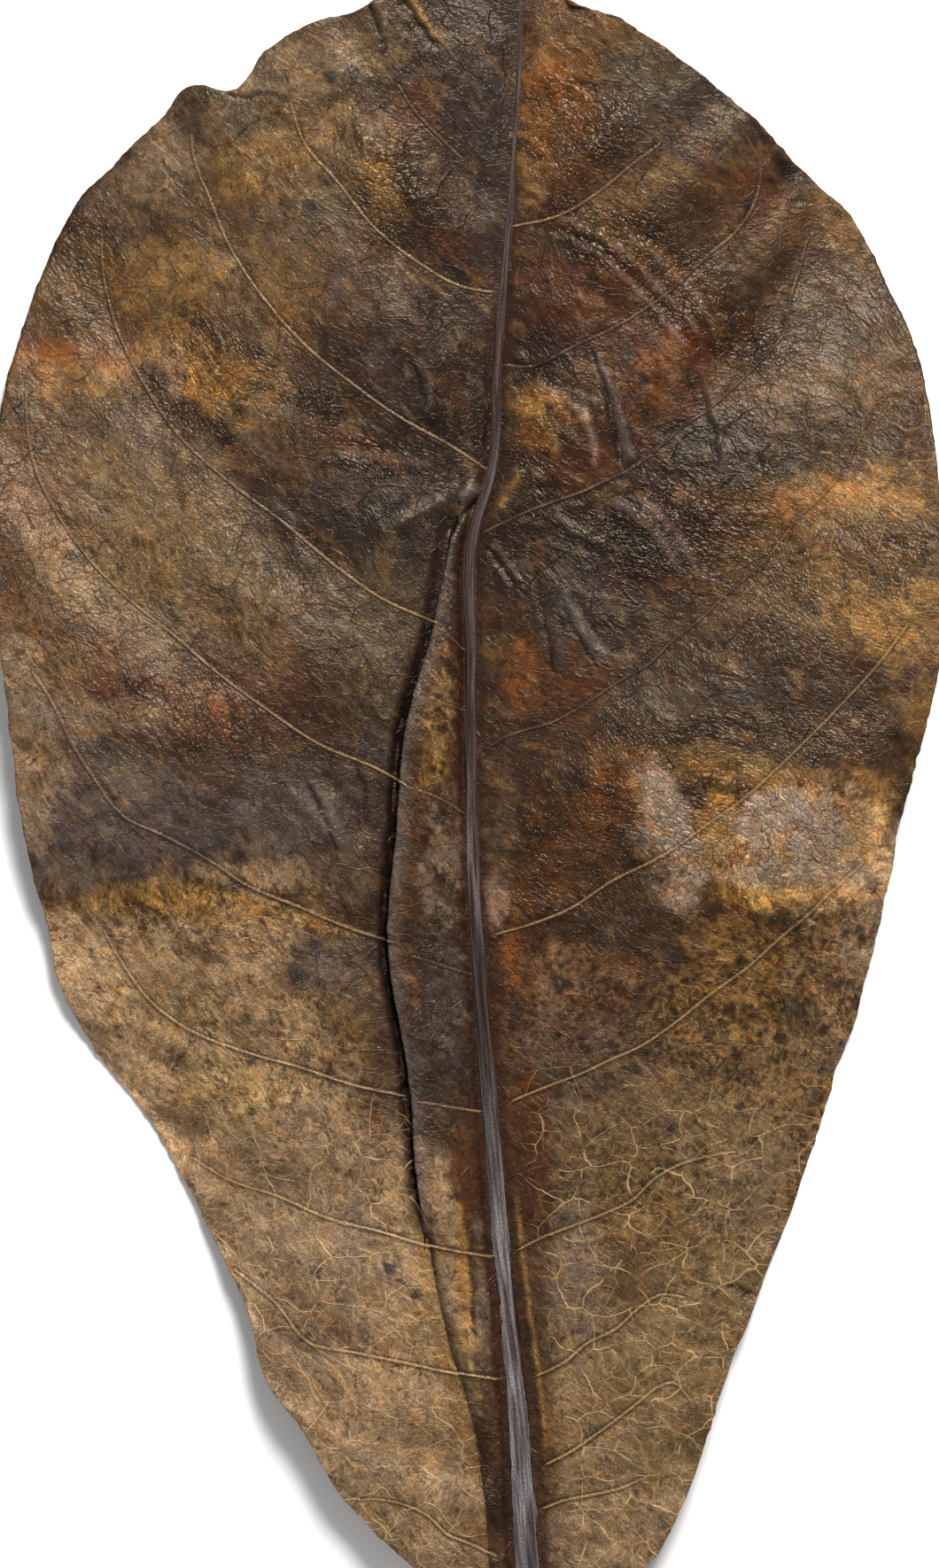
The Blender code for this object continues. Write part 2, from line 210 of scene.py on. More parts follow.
RIGHT_VEINS = [
    ([(580, 254), (626, 245), (675, 218), (714, 187), (744, 165)], 3.4, 0.26, "vein_tan", "khaki"),
    ([(570, 410), (599, 413), (649, 390), (691, 371), (729, 348), (760, 325), (805, 283), (832, 260),
      (855, 222), (859, 184), (836, 145)], 3.8, 0.30, "umber", "slate"),
    ([(545, 600), (600, 575), (656, 555), (698, 536), (714, 528), (744, 505), (775, 478), (798, 463),
      (836, 429), (867, 398), (886, 375), (894, 337), (907, 295), (913, 268)], 4.0, 0.34, "umber", "slate"),
    ([(549, 845), (568, 833), (626, 814), (660, 795), (691, 774), (733, 749), (760, 722), (794, 696),
      (813, 677), (836, 657), (867, 629), (897, 589), (932, 555), (951, 532), (970, 494), (982, 471)],
     4.0, 0.36, "umber", "slate"),
    ([(561, 1055), (599, 1044), (645, 1025), (691, 994), (737, 971), (756, 960), (798, 929), (836, 902),
      (874, 868), (913, 830), (936, 807), (951, 791), (989, 749), (1020, 707)],
     4.2, 0.38, "vein_tan", "vein_tan"),
    ([(580, 1243), (618, 1227), (656, 1212), (695, 1193), (714, 1185), (760, 1155), (798, 1124),
      (844, 1090), (882, 1055), (913, 1029), (936, 1006), (970, 975)], 4.0, 0.32, "vein_tan", "vein_tan"),
    ([(587, 1411), (607, 1400), (645, 1384), (683, 1369), (714, 1354), (737, 1331), (760, 1317),
      (794, 1306), (829, 1300)], 3.8, 0.28, "vein_tan", "vein_gold"),
    ([(607, 1553), (637, 1537), (664, 1514), (695, 1499), (721, 1476), (748, 1461), (771, 1465)],
     3.6, 0.26, "vein_gold", "vein_gold"),
    ([(618, 1652), (645, 1637), (672, 1618), (698, 1599), (721, 1581), (744, 1564), (760, 1560),
      (779, 1580)], 3.4, 0.24, "vein_gold", "vein_gold"),
    ([(614, 1702), (633, 1694), (664, 1687), (698, 1679), (733, 1664)], 3.0, 0.2, "vein_gold", "vein_gold"),
]

# Creases of the sheet: path, width, height (below 0 for a groove), colour and strength of its colour.
# The dark colours of the grooves are painted shade, and the pale colours of the ridges, sheen and lilac most
# of all, are painted highlights
LEFT_CREASES = [
    ([(251, 104), (275, 110), (305, 107), (320, 115), (327, 120)], 3.0, -0.35, "char_and_shade", 0.8),
    ([(252, 98), (276, 104), (305, 101), (322, 109)], 3.0, 0.2, "tan", 0.6),
    ([(413, 5), (428, 40), (436, 57)], 4.0, -0.45, "char_and_shade", 0.8),
    ([(428, 3), (434, 25), (430, 52)], 4.0, 0.25, "slate_tan", 0.4),
    ([(455, 0), (470, 25), (482, 44), (497, 58)], 4.0, -0.4, "char_and_shade", 0.8),
    ([(461, -4), (476, 20), (490, 40), (503, 54)], 3.5, 0.25, "gold", 0.5),
    ([(310, 900), (350, 938), (372, 972)], 7.0, -0.4, "slate_dark", 0.4),
    ([(322, 890), (362, 925), (388, 965)], 8.0, 0.35, "slate_tan", 0.2),
    ([(270, 910), (300, 935), (320, 975)], 8.0, 0.3, "slate_tan", 0.2),
    ([(360, 870), (392, 905), (408, 950)], 7.0, -0.3, "slate_dark", 0.3),
    ([(505, 604), (516, 584), (532, 572), (548, 566)], 5.0, -0.6, "char_and_shade", 0.95),
    ([(516, 562), (532, 554), (548, 552), (560, 556)], 4.5, 0.6, "rib_pale", 0.7),
    ([(440, 590), (470, 578), (505, 560)], 4.0, 0.25, "dun", 0.5),
    ([(440, 600), (480, 575), (520, 552), (548, 538)], 9.0, 0.4, "slate", 0.2),
    ([(455, 780), (480, 788), (515, 795)], 2.5, 0.1, "vein_tan", 0.5),
    ([(300, 560), (330, 600), (345, 650)], 9.0, 0.25, "slate", 0.15),
    ([(60, 790), (90, 860), (130, 925)], 8.0, 0.2, "slate", 0.15),
]
RIGHT_CREASES = [
    ([(546, 612), (564, 634), (582, 662)], 3.5, -0.45, "char_and_shade", 0.9),
    ([(552, 610), (572, 632), (590, 658)], 2.5, 0.15, "tan", 0.4),
    ([(562, 574), (574, 556), (590, 528)], 5.0, 0.25, "gold", 0.6),
    ([(560, 590), (620, 572), (700, 545)], 3.0, -0.2, "char_and_shade", 0.5),
    ([(600, 640), (612, 672), (622, 702)], 5.0, -0.35, "char_and_shade", 0.6),
    ([(645, 665), (662, 700), (682, 732)], 5.0, -0.35, "char_and_shade", 0.6),
    ([(632, 660), (650, 695), (668, 728)], 7.0, 0.15, "slate", 0.35),
    ([(620, 575), (650, 600), (690, 620)], 6.0, 0.3, "slate", 0.2),
    ([(682, 432), (692, 480), (704, 526)], 5.0, -0.4, "char_and_shade", 0.6),
    ([(694, 428), (704, 478), (716, 524)], 6.0, 0.4, "slate", 0.35),
    ([(780, 405), (800, 470), (812, 535)], 4.0, -0.3, "char_and_shade", 0.5),
    ([(787, 403), (807, 468), (819, 533)], 5.0, 0.28, "slate", 0.3),
    ([(570, 405), (600, 417), (622, 408), (642, 400)], 5.0, -0.4, "char_and_shade", 0.7),
    ([(575, 398), (602, 408), (640, 392)], 5.0, 0.3, "slate", 0.3),
    ([(560, 455), (590, 462), (622, 490), (630, 520)], 6.0, 0.35, "gold", 0.5),
    ([(985, 970), (1008, 972)], 3.0, -0.4, "char_and_shade", 0.8),
    ([(950, 1052), (988, 1060)], 3.0, -0.35, "char_and_shade", 0.7),
    ([(820, 1450), (836, 1458), (852, 1462)], 3.0, -0.4, "char_and_shade", 0.8),
    ([(560, 560), (590, 552), (640, 552)], 5.0, -0.25, "char_and_shade", 0.4),
    ([(612, 245), (650, 252), (690, 275), (730, 310), (770, 352), (800, 385)], 3.5, 0.2, "sheen", 0.4),
    ([(618, 257), (652, 265), (688, 288), (726, 322), (764, 362)], 3.5, -0.2, "maroon", 0.5),
    ([(640, 268), (676, 288), (712, 320), (748, 358), (780, 396)], 3.5, 0.18, "sheen", 0.3),
    ([(700, 262), (740, 288), (780, 328), (812, 372)], 3.5, 0.18, "sheen", 0.3),
    ([(708, 258), (748, 282), (790, 320), (824, 362)], 3.5, -0.2, "rust", 0.4),
    ([(560, 300), (590, 318), (620, 350)], 5.0, 0.25, "rust", 0.4),
    ([(655, 455), (668, 490), (672, 530)], 4.0, 0.2, "sheen", 0.3),
    ([(600, 430), (640, 452), (664, 480)], 4.0, 0.2, "sheen", 0.3),
    ([(690, 560), (730, 590), (770, 640)], 5.0, 0.15, "lilac_highlight", 0.25),
    ([(720, 560), (762, 600), (790, 650)], 5.0, 0.15, "lilac_highlight", 0.25),
]

# Smooth narrow folds: path, half width at its start and at its end, colour and its strength
LEFT_FACETS = [
    ([(350, 880), (372, 915), (392, 960)], 5.0, 11.0, "slate", 0.6),
    ([(400, 850), (418, 890), (424, 935)], 4.0, 9.0, "slate_dark", 0.6),
    ([(470, 402), (482, 430), (486, 462)], 8.0, 5.0, "slate", 0.5),
]
RIGHT_FACETS = [
    ([(668, 388), (682, 420), (694, 455), (706, 500), (712, 522)], 3.0, 9.0, "slate", 0.75),
    ([(776, 408), (788, 445), (800, 478), (806, 510), (812, 540)], 2.5, 4.0, "slate_dark", 0.8),
    ([(612, 662), (620, 690), (628, 725), (634, 760)], 7.0, 9.0, "slate_dark", 0.7),
    ([(640, 680), (655, 705), (672, 730), (686, 748)], 6.0, 12.0, "slate", 0.7),
]

# Palette, as the colours look in the photograph. The last six are for the material's finest lines.
# Sheen, lilac and pearl are painted highlights, crest gold is a painted glint and vein shade is painted
# shade.
# Cream is a pale colour of the leaf and also a painted highlight. Char is near black, for charred spots and
# for painted shade and shadow
PALETTE = {
    "tan": (150, 125, 98), "pale_tan": (166, 136, 102), "cream_and_highlight": (224, 184, 140), "pearl_highlight": (246, 216, 188),
    "dun": (106, 87, 69), "dusk": (64, 51, 47), "russet": (122, 84, 56), "khaki": (122, 98, 66),
    "olive": (136, 112, 80), "olive_grey": (96, 82, 64), "ochre": (146, 110, 64), "gold": (170, 127, 72),
    "bright_gold": (205, 156, 88), "orange": (150, 88, 42), "rust": (110, 66, 42),
    "red_brown": (94, 56, 42), "maroon": (72, 46, 40), "umber": (92, 68, 50), "brown": (78, 56, 44),
    "dark_brown": (60, 44, 37), "slate": (104, 92, 86), "slate_tan": (130, 112, 96),
    "slate_dark": (72, 62, 60), "violet": (88, 74, 74), "char_and_shade": (36, 29, 30), "blue_black": (52, 50, 60),
    "sheen": (196, 164, 142), "lilac_highlight": (204, 182, 172), "vein_tan": (160, 134, 104),
    "vein_gold": (178, 146, 98), "rib": (96, 89, 90), "steel": (118, 116, 118), "rib_pale": (134, 126, 124),
    "speck": (52, 38, 32), "net_gold": (206, 172, 122), "crest_glint_gold": (214, 170, 116),
    "vein_dark": (62, 54, 55), "vein_light": (186, 150, 102), "vein_shade": (42, 33, 31),
}

# Ground colours in broad soft patches: colour, x, y, reach along and across, strength, and a turn in
# degrees where there is one
LEFT_GROUND = [
    ("olive_grey", 340, 75, 130, 70, 0.9, -20), ("dusk", 530, 90, 110, 150, 0.9),
    ("brown", 440, 120, 60, 90, 0.7), ("khaki", 320, 185, 120, 60, 0.8),
    ("umber", 140, 240, 120, 60, 0.7, -30), ("brown", 480, 290, 90, 90, 0.8),
    ("dun", 330, 290, 130, 60, 0.8, 10), ("khaki", 150, 330, 110, 60, 0.8),
    ("russet", 60, 405, 100, 36, 0.8), ("russet", 250, 420, 120, 50, 0.4),
    ("brown", 380, 440, 140, 80, 0.85), ("dusk", 480, 510, 130, 120, 0.9), ("dun", 60, 505, 110, 60, 0.8),
    ("dun", 200, 590, 150, 90, 0.8, 20), ("brown", 360, 620, 130, 90, 0.8),
    ("olive_grey", 430, 740, 70, 100, 0.8), ("umber", 270, 720, 120, 80, 0.7),
    ("russet", 70, 725, 110, 50, 0.7), ("rust", 230, 800, 120, 44, 0.7, 10),
    ("slate_tan", 50, 860, 60, 110, 0.9), ("brown", 330, 850, 140, 70, 0.8, 20),
    ("slate", 190, 900, 130, 50, 0.6), ("slate_dark", 150, 965, 170, 40, 0.9),
    ("slate_dark", 390, 930, 100, 100, 0.6), ("ochre", 200, 1035, 200, 40, 0.8),
    ("pale_tan", 210, 1190, 220, 160, 0.9, 20), ("umber", 405, 1130, 50, 130, 0.7),
    ("tan", 390, 1500, 210, 260, 0.95), ("brown", 446, 1250, 26, 130, 0.6),
    ("ochre", 500, 1520, 40, 150, 0.5),
]
RIGHT_GROUND = [
    ("russet", 640, 60, 70, 90, 0.5), ("slate_dark", 780, 120, 120, 60, 0.8, 25),
    ("umber", 650, 160, 80, 60, 0.6), ("brown", 700, 230, 140, 60, 0.6),
    ("rust", 880, 230, 90, 50, 0.5, 30), ("maroon", 640, 350, 100, 70, 0.8),
    ("rust", 750, 380, 90, 60, 0.7), ("umber", 930, 300, 120, 90, 0.9),
    ("ochre", 940, 320, 90, 60, 0.35, 20), ("ochre", 950, 425, 130, 36, 0.5),
    ("dark_brown", 880, 500, 130, 40, 0.9), ("maroon", 720, 480, 110, 80, 0.8),
    ("ochre", 950, 560, 160, 36, 0.8, -5), ("dusk", 660, 620, 120, 100, 0.9),
    ("ochre", 870, 635, 110, 34, 0.6), ("khaki", 900, 680, 110, 30, 0.5), ("gold", 1010, 690, 70, 60, 0.8),
    ("dusk", 850, 775, 190, 54, 0.8), ("brown", 620, 870, 90, 120, 0.8),
    ("russet", 700, 870, 60, 50, 0.5, 30), ("gold", 870, 970, 140, 60, 0.8),
    ("pale_tan", 940, 975, 100, 60, 0.9), ("umber", 900, 860, 100, 30, 0.6),
    ("brown", 660, 1015, 130, 60, 0.7), ("brown", 810, 1075, 90, 40, 0.5),
    ("rust", 585, 1150, 34, 130, 0.7), ("dun", 690, 1190, 110, 120, 0.8),
    ("ochre", 890, 1170, 140, 150, 0.7), ("khaki", 780, 1380, 180, 130, 0.8),
    ("olive", 760, 1570, 150, 150, 0.7), ("slate_tan", 650, 1480, 34, 180, 0.6),
    ("olive", 700, 1700, 110, 90, 0.8), ("red_brown", 602, 1320, 22, 120, 0.7),
]

# Washes of colour over the ground, in the same columns. The sheen, lilac and pearl washes are painted
# highlights.
# The cream, gold and bright gold washes in the glossy places are partly the leaf's colour and partly painted
# highlights
LEFT_WASHES = [
    ("slate_dark", 520, 60, 80, 110, 0.8), ("slate_dark", 552, 200, 34, 150, 0.8),
    ("olive_grey", 350, 70, 100, 46, 0.7, -15), ("khaki", 420, 60, 40, 30, 0.6),
    ("rust", 468, 125, 30, 40, 0.6, 30), ("ochre", 400, 165, 40, 34, 0.5, 30),
    ("gold", 430, 215, 20, 50, 0.5, -30), ("gold", 428, 200, 12, 26, 0.4, -30),
    ("brown", 500, 190, 30, 40, 0.6), ("olive_grey", 368, 230, 32, 44, 0.7, -20),
    ("ochre", 300, 190, 70, 34, 0.4, -20), ("olive_grey", 262, 132, 50, 24, 0.6),
    ("umber", 190, 190, 60, 50, 0.5, -40), ("ochre", 300, 215, 50, 16, 0.5),
    ("umber", 120, 290, 50, 60, 0.5, 20), ("ochre", 200, 310, 90, 40, 0.55, -10),
    ("orange", 60, 402, 60, 20, 0.6), ("ochre", 90, 430, 60, 24, 0.6), ("rust", 140, 380, 34, 30, 0.5),
    ("gold", 215, 405, 34, 60, 0.8, -30), ("sheen", 195, 415, 20, 40, 0.4, -35),
    ("gold", 275, 445, 40, 40, 0.7, -30), ("ochre", 330, 330, 50, 50, 0.4),
    ("umber", 400, 300, 60, 50, 0.5, 30), ("slate", 420, 330, 40, 30, 0.4),
    ("maroon", 500, 270, 34, 40, 0.5), ("slate_dark", 500, 345, 44, 44, 0.6),
    ("slate", 470, 425, 50, 44, 0.55, 30), ("dark_brown", 505, 430, 36, 60, 0.5),
    ("russet", 60, 530, 70, 80, 0.5), ("dun", 130, 470, 60, 40, 0.5),
    ("slate_tan", 120, 560, 70, 60, 0.4, 30), ("khaki", 230, 600, 80, 60, 0.6, 30),
    ("tan", 300, 478, 44, 36, 0.6, 20), ("brown", 330, 530, 60, 34, 0.7, -10),
    ("slate_dark", 400, 560, 110, 40, 0.7, -10), ("sheen", 425, 514, 52, 7, 0.45, 8),
    ("orange", 400, 495, 50, 14, 0.3, 20), ("slate_dark", 470, 600, 40, 50, 0.6),
    ("olive_grey", 400, 660, 70, 60, 0.55, 30), ("khaki", 300, 690, 60, 60, 0.5),
    ("olive", 180, 700, 60, 60, 0.5, 30), ("ochre", 60, 620, 34, 50, 0.5), ("tan", 60, 680, 50, 40, 0.4),
    ("orange", 52, 732, 40, 12, 0.6, 20), ("rust", 170, 790, 100, 34, 0.65, 10),
    ("rust", 270, 810, 50, 34, 0.6, 30), ("orange", 240, 790, 24, 14, 0.4, 30),
    ("brown", 310, 830, 60, 30, 0.5, 30), ("olive_grey", 430, 770, 34, 60, 0.5),
    ("slate_tan", 60, 830, 34, 40, 0.4), ("violet", 150, 880, 110, 40, 0.6, 10),
    ("slate_dark", 90, 955, 80, 44, 0.75), ("violet", 200, 920, 60, 40, 0.4),
    ("umber", 230, 880, 50, 26, 0.4, 10), ("slate_dark", 320, 890, 60, 30, 0.55, 30),
    ("slate", 340, 935, 70, 44, 0.7, 20), ("slate_tan", 290, 955, 26, 30, 0.5),
    ("slate", 420, 860, 30, 50, 0.5), ("maroon", 425, 960, 28, 70, 0.7),
    ("ochre", 200, 1025, 130, 26, 0.8, -4), ("gold", 235, 1018, 70, 13, 0.8, 4),
    ("bright_gold", 285, 995, 16, 9, 0.5, 20), ("gold", 360, 1040, 44, 12, 0.7, 20),
    ("ochre", 90, 1055, 50, 30, 0.5), ("slate_dark", 345, 1095, 26, 30, 0.6),
    ("slate", 395, 1095, 44, 40, 0.5, 20), ("brown", 430, 1110, 24, 50, 0.4),
    ("tan", 150, 1100, 60, 44, 0.4, 20), ("khaki", 230, 1140, 70, 30, 0.3, 10),
    ("red_brown", 185, 1222, 34, 34, 0.5), ("gold", 220, 1268, 22, 16, 0.6, 30),
    ("ochre", 370, 1165, 50, 40, 0.4), ("rust", 440, 1245, 26, 54, 0.5), ("orange", 436, 1275, 14, 30, 0.3),
    ("tan", 300, 1290, 60, 40, 0.4), ("tan", 330, 1390, 70, 60, 0.4),
    ("slate_tan", 400, 1440, 17, 100, 0.5), ("slate_tan", 432, 1400, 12, 90, 0.3),
    ("olive", 440, 1480, 26, 70, 0.3), ("umber", 340, 1500, 50, 40, 0.35),
    ("red_brown", 350, 1590, 34, 26, 0.3), ("tan", 455, 1620, 56, 70, 0.35),
    ("olive", 470, 1710, 50, 44, 0.4), ("umber", 540, 1740, 26, 34, 0.5), ("tan", 40, 890, 36, 70, 0.9),
    ("pale_tan", 100, 1090, 56, 60, 0.9), ("tan", 165, 1225, 50, 34, 0.8, 40),
    ("vein_gold", 250, 1225, 60, 44, 0.6), ("tan", 295, 985, 46, 18, 0.7),
    ("pale_tan", 450, 1530, 60, 70, 0.7), ("tan", 450, 1350, 30, 80, 0.8), ("tan", 500, 1770, 60, 34, 0.8),
    ("umber", 450, 300, 44, 50, 0.5), ("dark_brown", 450, 450, 60, 50, 0.5),
    ("pale_tan", 135, 1200, 60, 50, 0.8, 40), ("cream_and_highlight", 85, 1060, 40, 40, 0.4),
    ("slate", 150, 925, 100, 44, 0.7), ("dun", 150, 215, 80, 50, 0.7, -40),
    ("dark_brown", 510, 395, 50, 50, 0.7), ("dusk", 510, 40, 50, 60, 0.6),
    ("russet", 60, 745, 80, 40, 0.6, 10), ("russet", 45, 600, 50, 90, 0.5), ("olive", 40, 750, 50, 34, 0.6),
    ("dun", 150, 815, 60, 34, 0.5), ("dun", 390, 985, 40, 44, 0.7), ("slate_tan", 85, 985, 44, 22, 0.6),
    ("dun", 330, 505, 50, 34, 0.6), ("dun", 210, 150, 60, 40, 0.7, -30), ("tan", 330, 85, 70, 34, 0.5, -20),
    ("tan", 40, 870, 34, 60, 0.3), ("cream_and_highlight", 150, 1230, 40, 40, 0.5, 30), ("tan", 30, 745, 34, 30, 0.6),
    ("cream_and_highlight", 215, 1285, 40, 30, 0.4), ("cream_and_highlight", 90, 1110, 44, 34, 0.6), ("tan", 150, 1050, 60, 20, 0.6),
    ("tan", 300, 990, 50, 16, 0.7), ("tan", 330, 1170, 50, 40, 0.6), ("pale_tan", 330, 1600, 60, 50, 0.6),
    ("khaki", 180, 560, 90, 70, 0.5, 30), ("tan", 395, 150, 40, 34, 0.6),
    ("tan", 180, 180, 70, 34, 0.5, -45), ("dun", 450, 1230, 26, 44, 0.8), ("dun", 450, 1050, 20, 50, 0.6),
    ("dun", 448, 990, 20, 34, 0.6), ("pale_tan", 150, 1052, 60, 22, 0.6),
    ("pale_tan", 330, 1170, 44, 34, 0.6), ("pale_tan", 450, 1350, 24, 60, 0.8),
    ("tan", 500, 1700, 50, 50, 0.7), ("char_and_shade", 430, 590, 90, 24, 0.4, -10), ("char_and_shade", 480, 470, 40, 60, 0.4),
    ("dun", 448, 1100, 20, 150, 0.5), ("slate", 110, 930, 80, 26, 0.4), ("dun", 390, 985, 34, 34, 0.5),
    ("tan", 260, 985, 50, 12, 0.5), ("dun", 330, 508, 34, 24, 0.5), ("pale_tan", 36, 875, 28, 50, 0.5),
    ("tan", 150, 808, 50, 20, 0.5), ("dark_brown", 330, 640, 60, 30, 0.3, 20),
    ("rust", 330, 760, 60, 30, 0.3), ("tan", 90, 810, 34, 30, 0.5), ("ochre", 120, 640, 90, 60, 0.4),
    ("tan", 495, 1530, 20, 80, 0.6), ("slate_tan", 150, 875, 50, 24, 0.5),
    ("gold", 150, 400, 60, 14, 0.4, -40), ("bright_gold", 235, 430, 20, 50, 0.5, -35),
    ("char_and_shade", 420, 600, 110, 34, 0.4, -10),
]
STRIP_WASHES = [
    ("brown", 515, 640, 14, 70, 0.6), ("ochre", 497, 800, 16, 50, 0.7), ("ochre", 490, 850, 20, 60, 0.7),
    ("rust", 515, 740, 12, 40, 0.4), ("rust", 490, 950, 30, 60, 0.6), ("brown", 500, 905, 20, 24, 0.4),
    ("brown", 485, 1060, 30, 60, 0.55), ("slate_dark", 495, 1140, 34, 80, 0.65),
    ("slate_dark", 505, 1220, 34, 50, 0.6), ("umber", 510, 1290, 30, 50, 0.6),
    ("rust", 525, 1340, 16, 50, 0.5), ("slate_tan", 497, 1340, 12, 60, 0.5),
    ("slate", 505, 1440, 10, 60, 0.6), ("gold", 524, 1470, 8, 90, 0.8, -3),
    ("slate_tan", 545, 1490, 9, 90, 0.6, -3), ("umber", 555, 1590, 12, 50, 0.6),
    # The dark brown wash at the strip's foot beside the midrib is a painted shadow
    ("dark_brown", 570, 1680, 14, 50, 0.8), ("vein_gold", 516, 1530, 24, 60, 0.7),
    ("slate_tan", 500, 985, 30, 60, 0.7), ("slate_tan", 500, 920, 20, 30, 0.4),
    ("tan", 470, 1350, 22, 60, 0.7), ("pale_tan", 500, 1400, 16, 70, 0.8),
    ("pale_tan", 505, 1530, 16, 70, 0.8), ("tan", 520, 1600, 16, 40, 0.7),
    ("slate_dark", 517, 650, 20, 80, 0.7), ("pale_tan", 500, 810, 14, 50, 0.5),
    ("pale_tan", 515, 1530, 20, 60, 0.5), ("slate", 505, 1140, 20, 70, 0.5),
    ("ochre", 497, 800, 12, 70, 0.6),
]
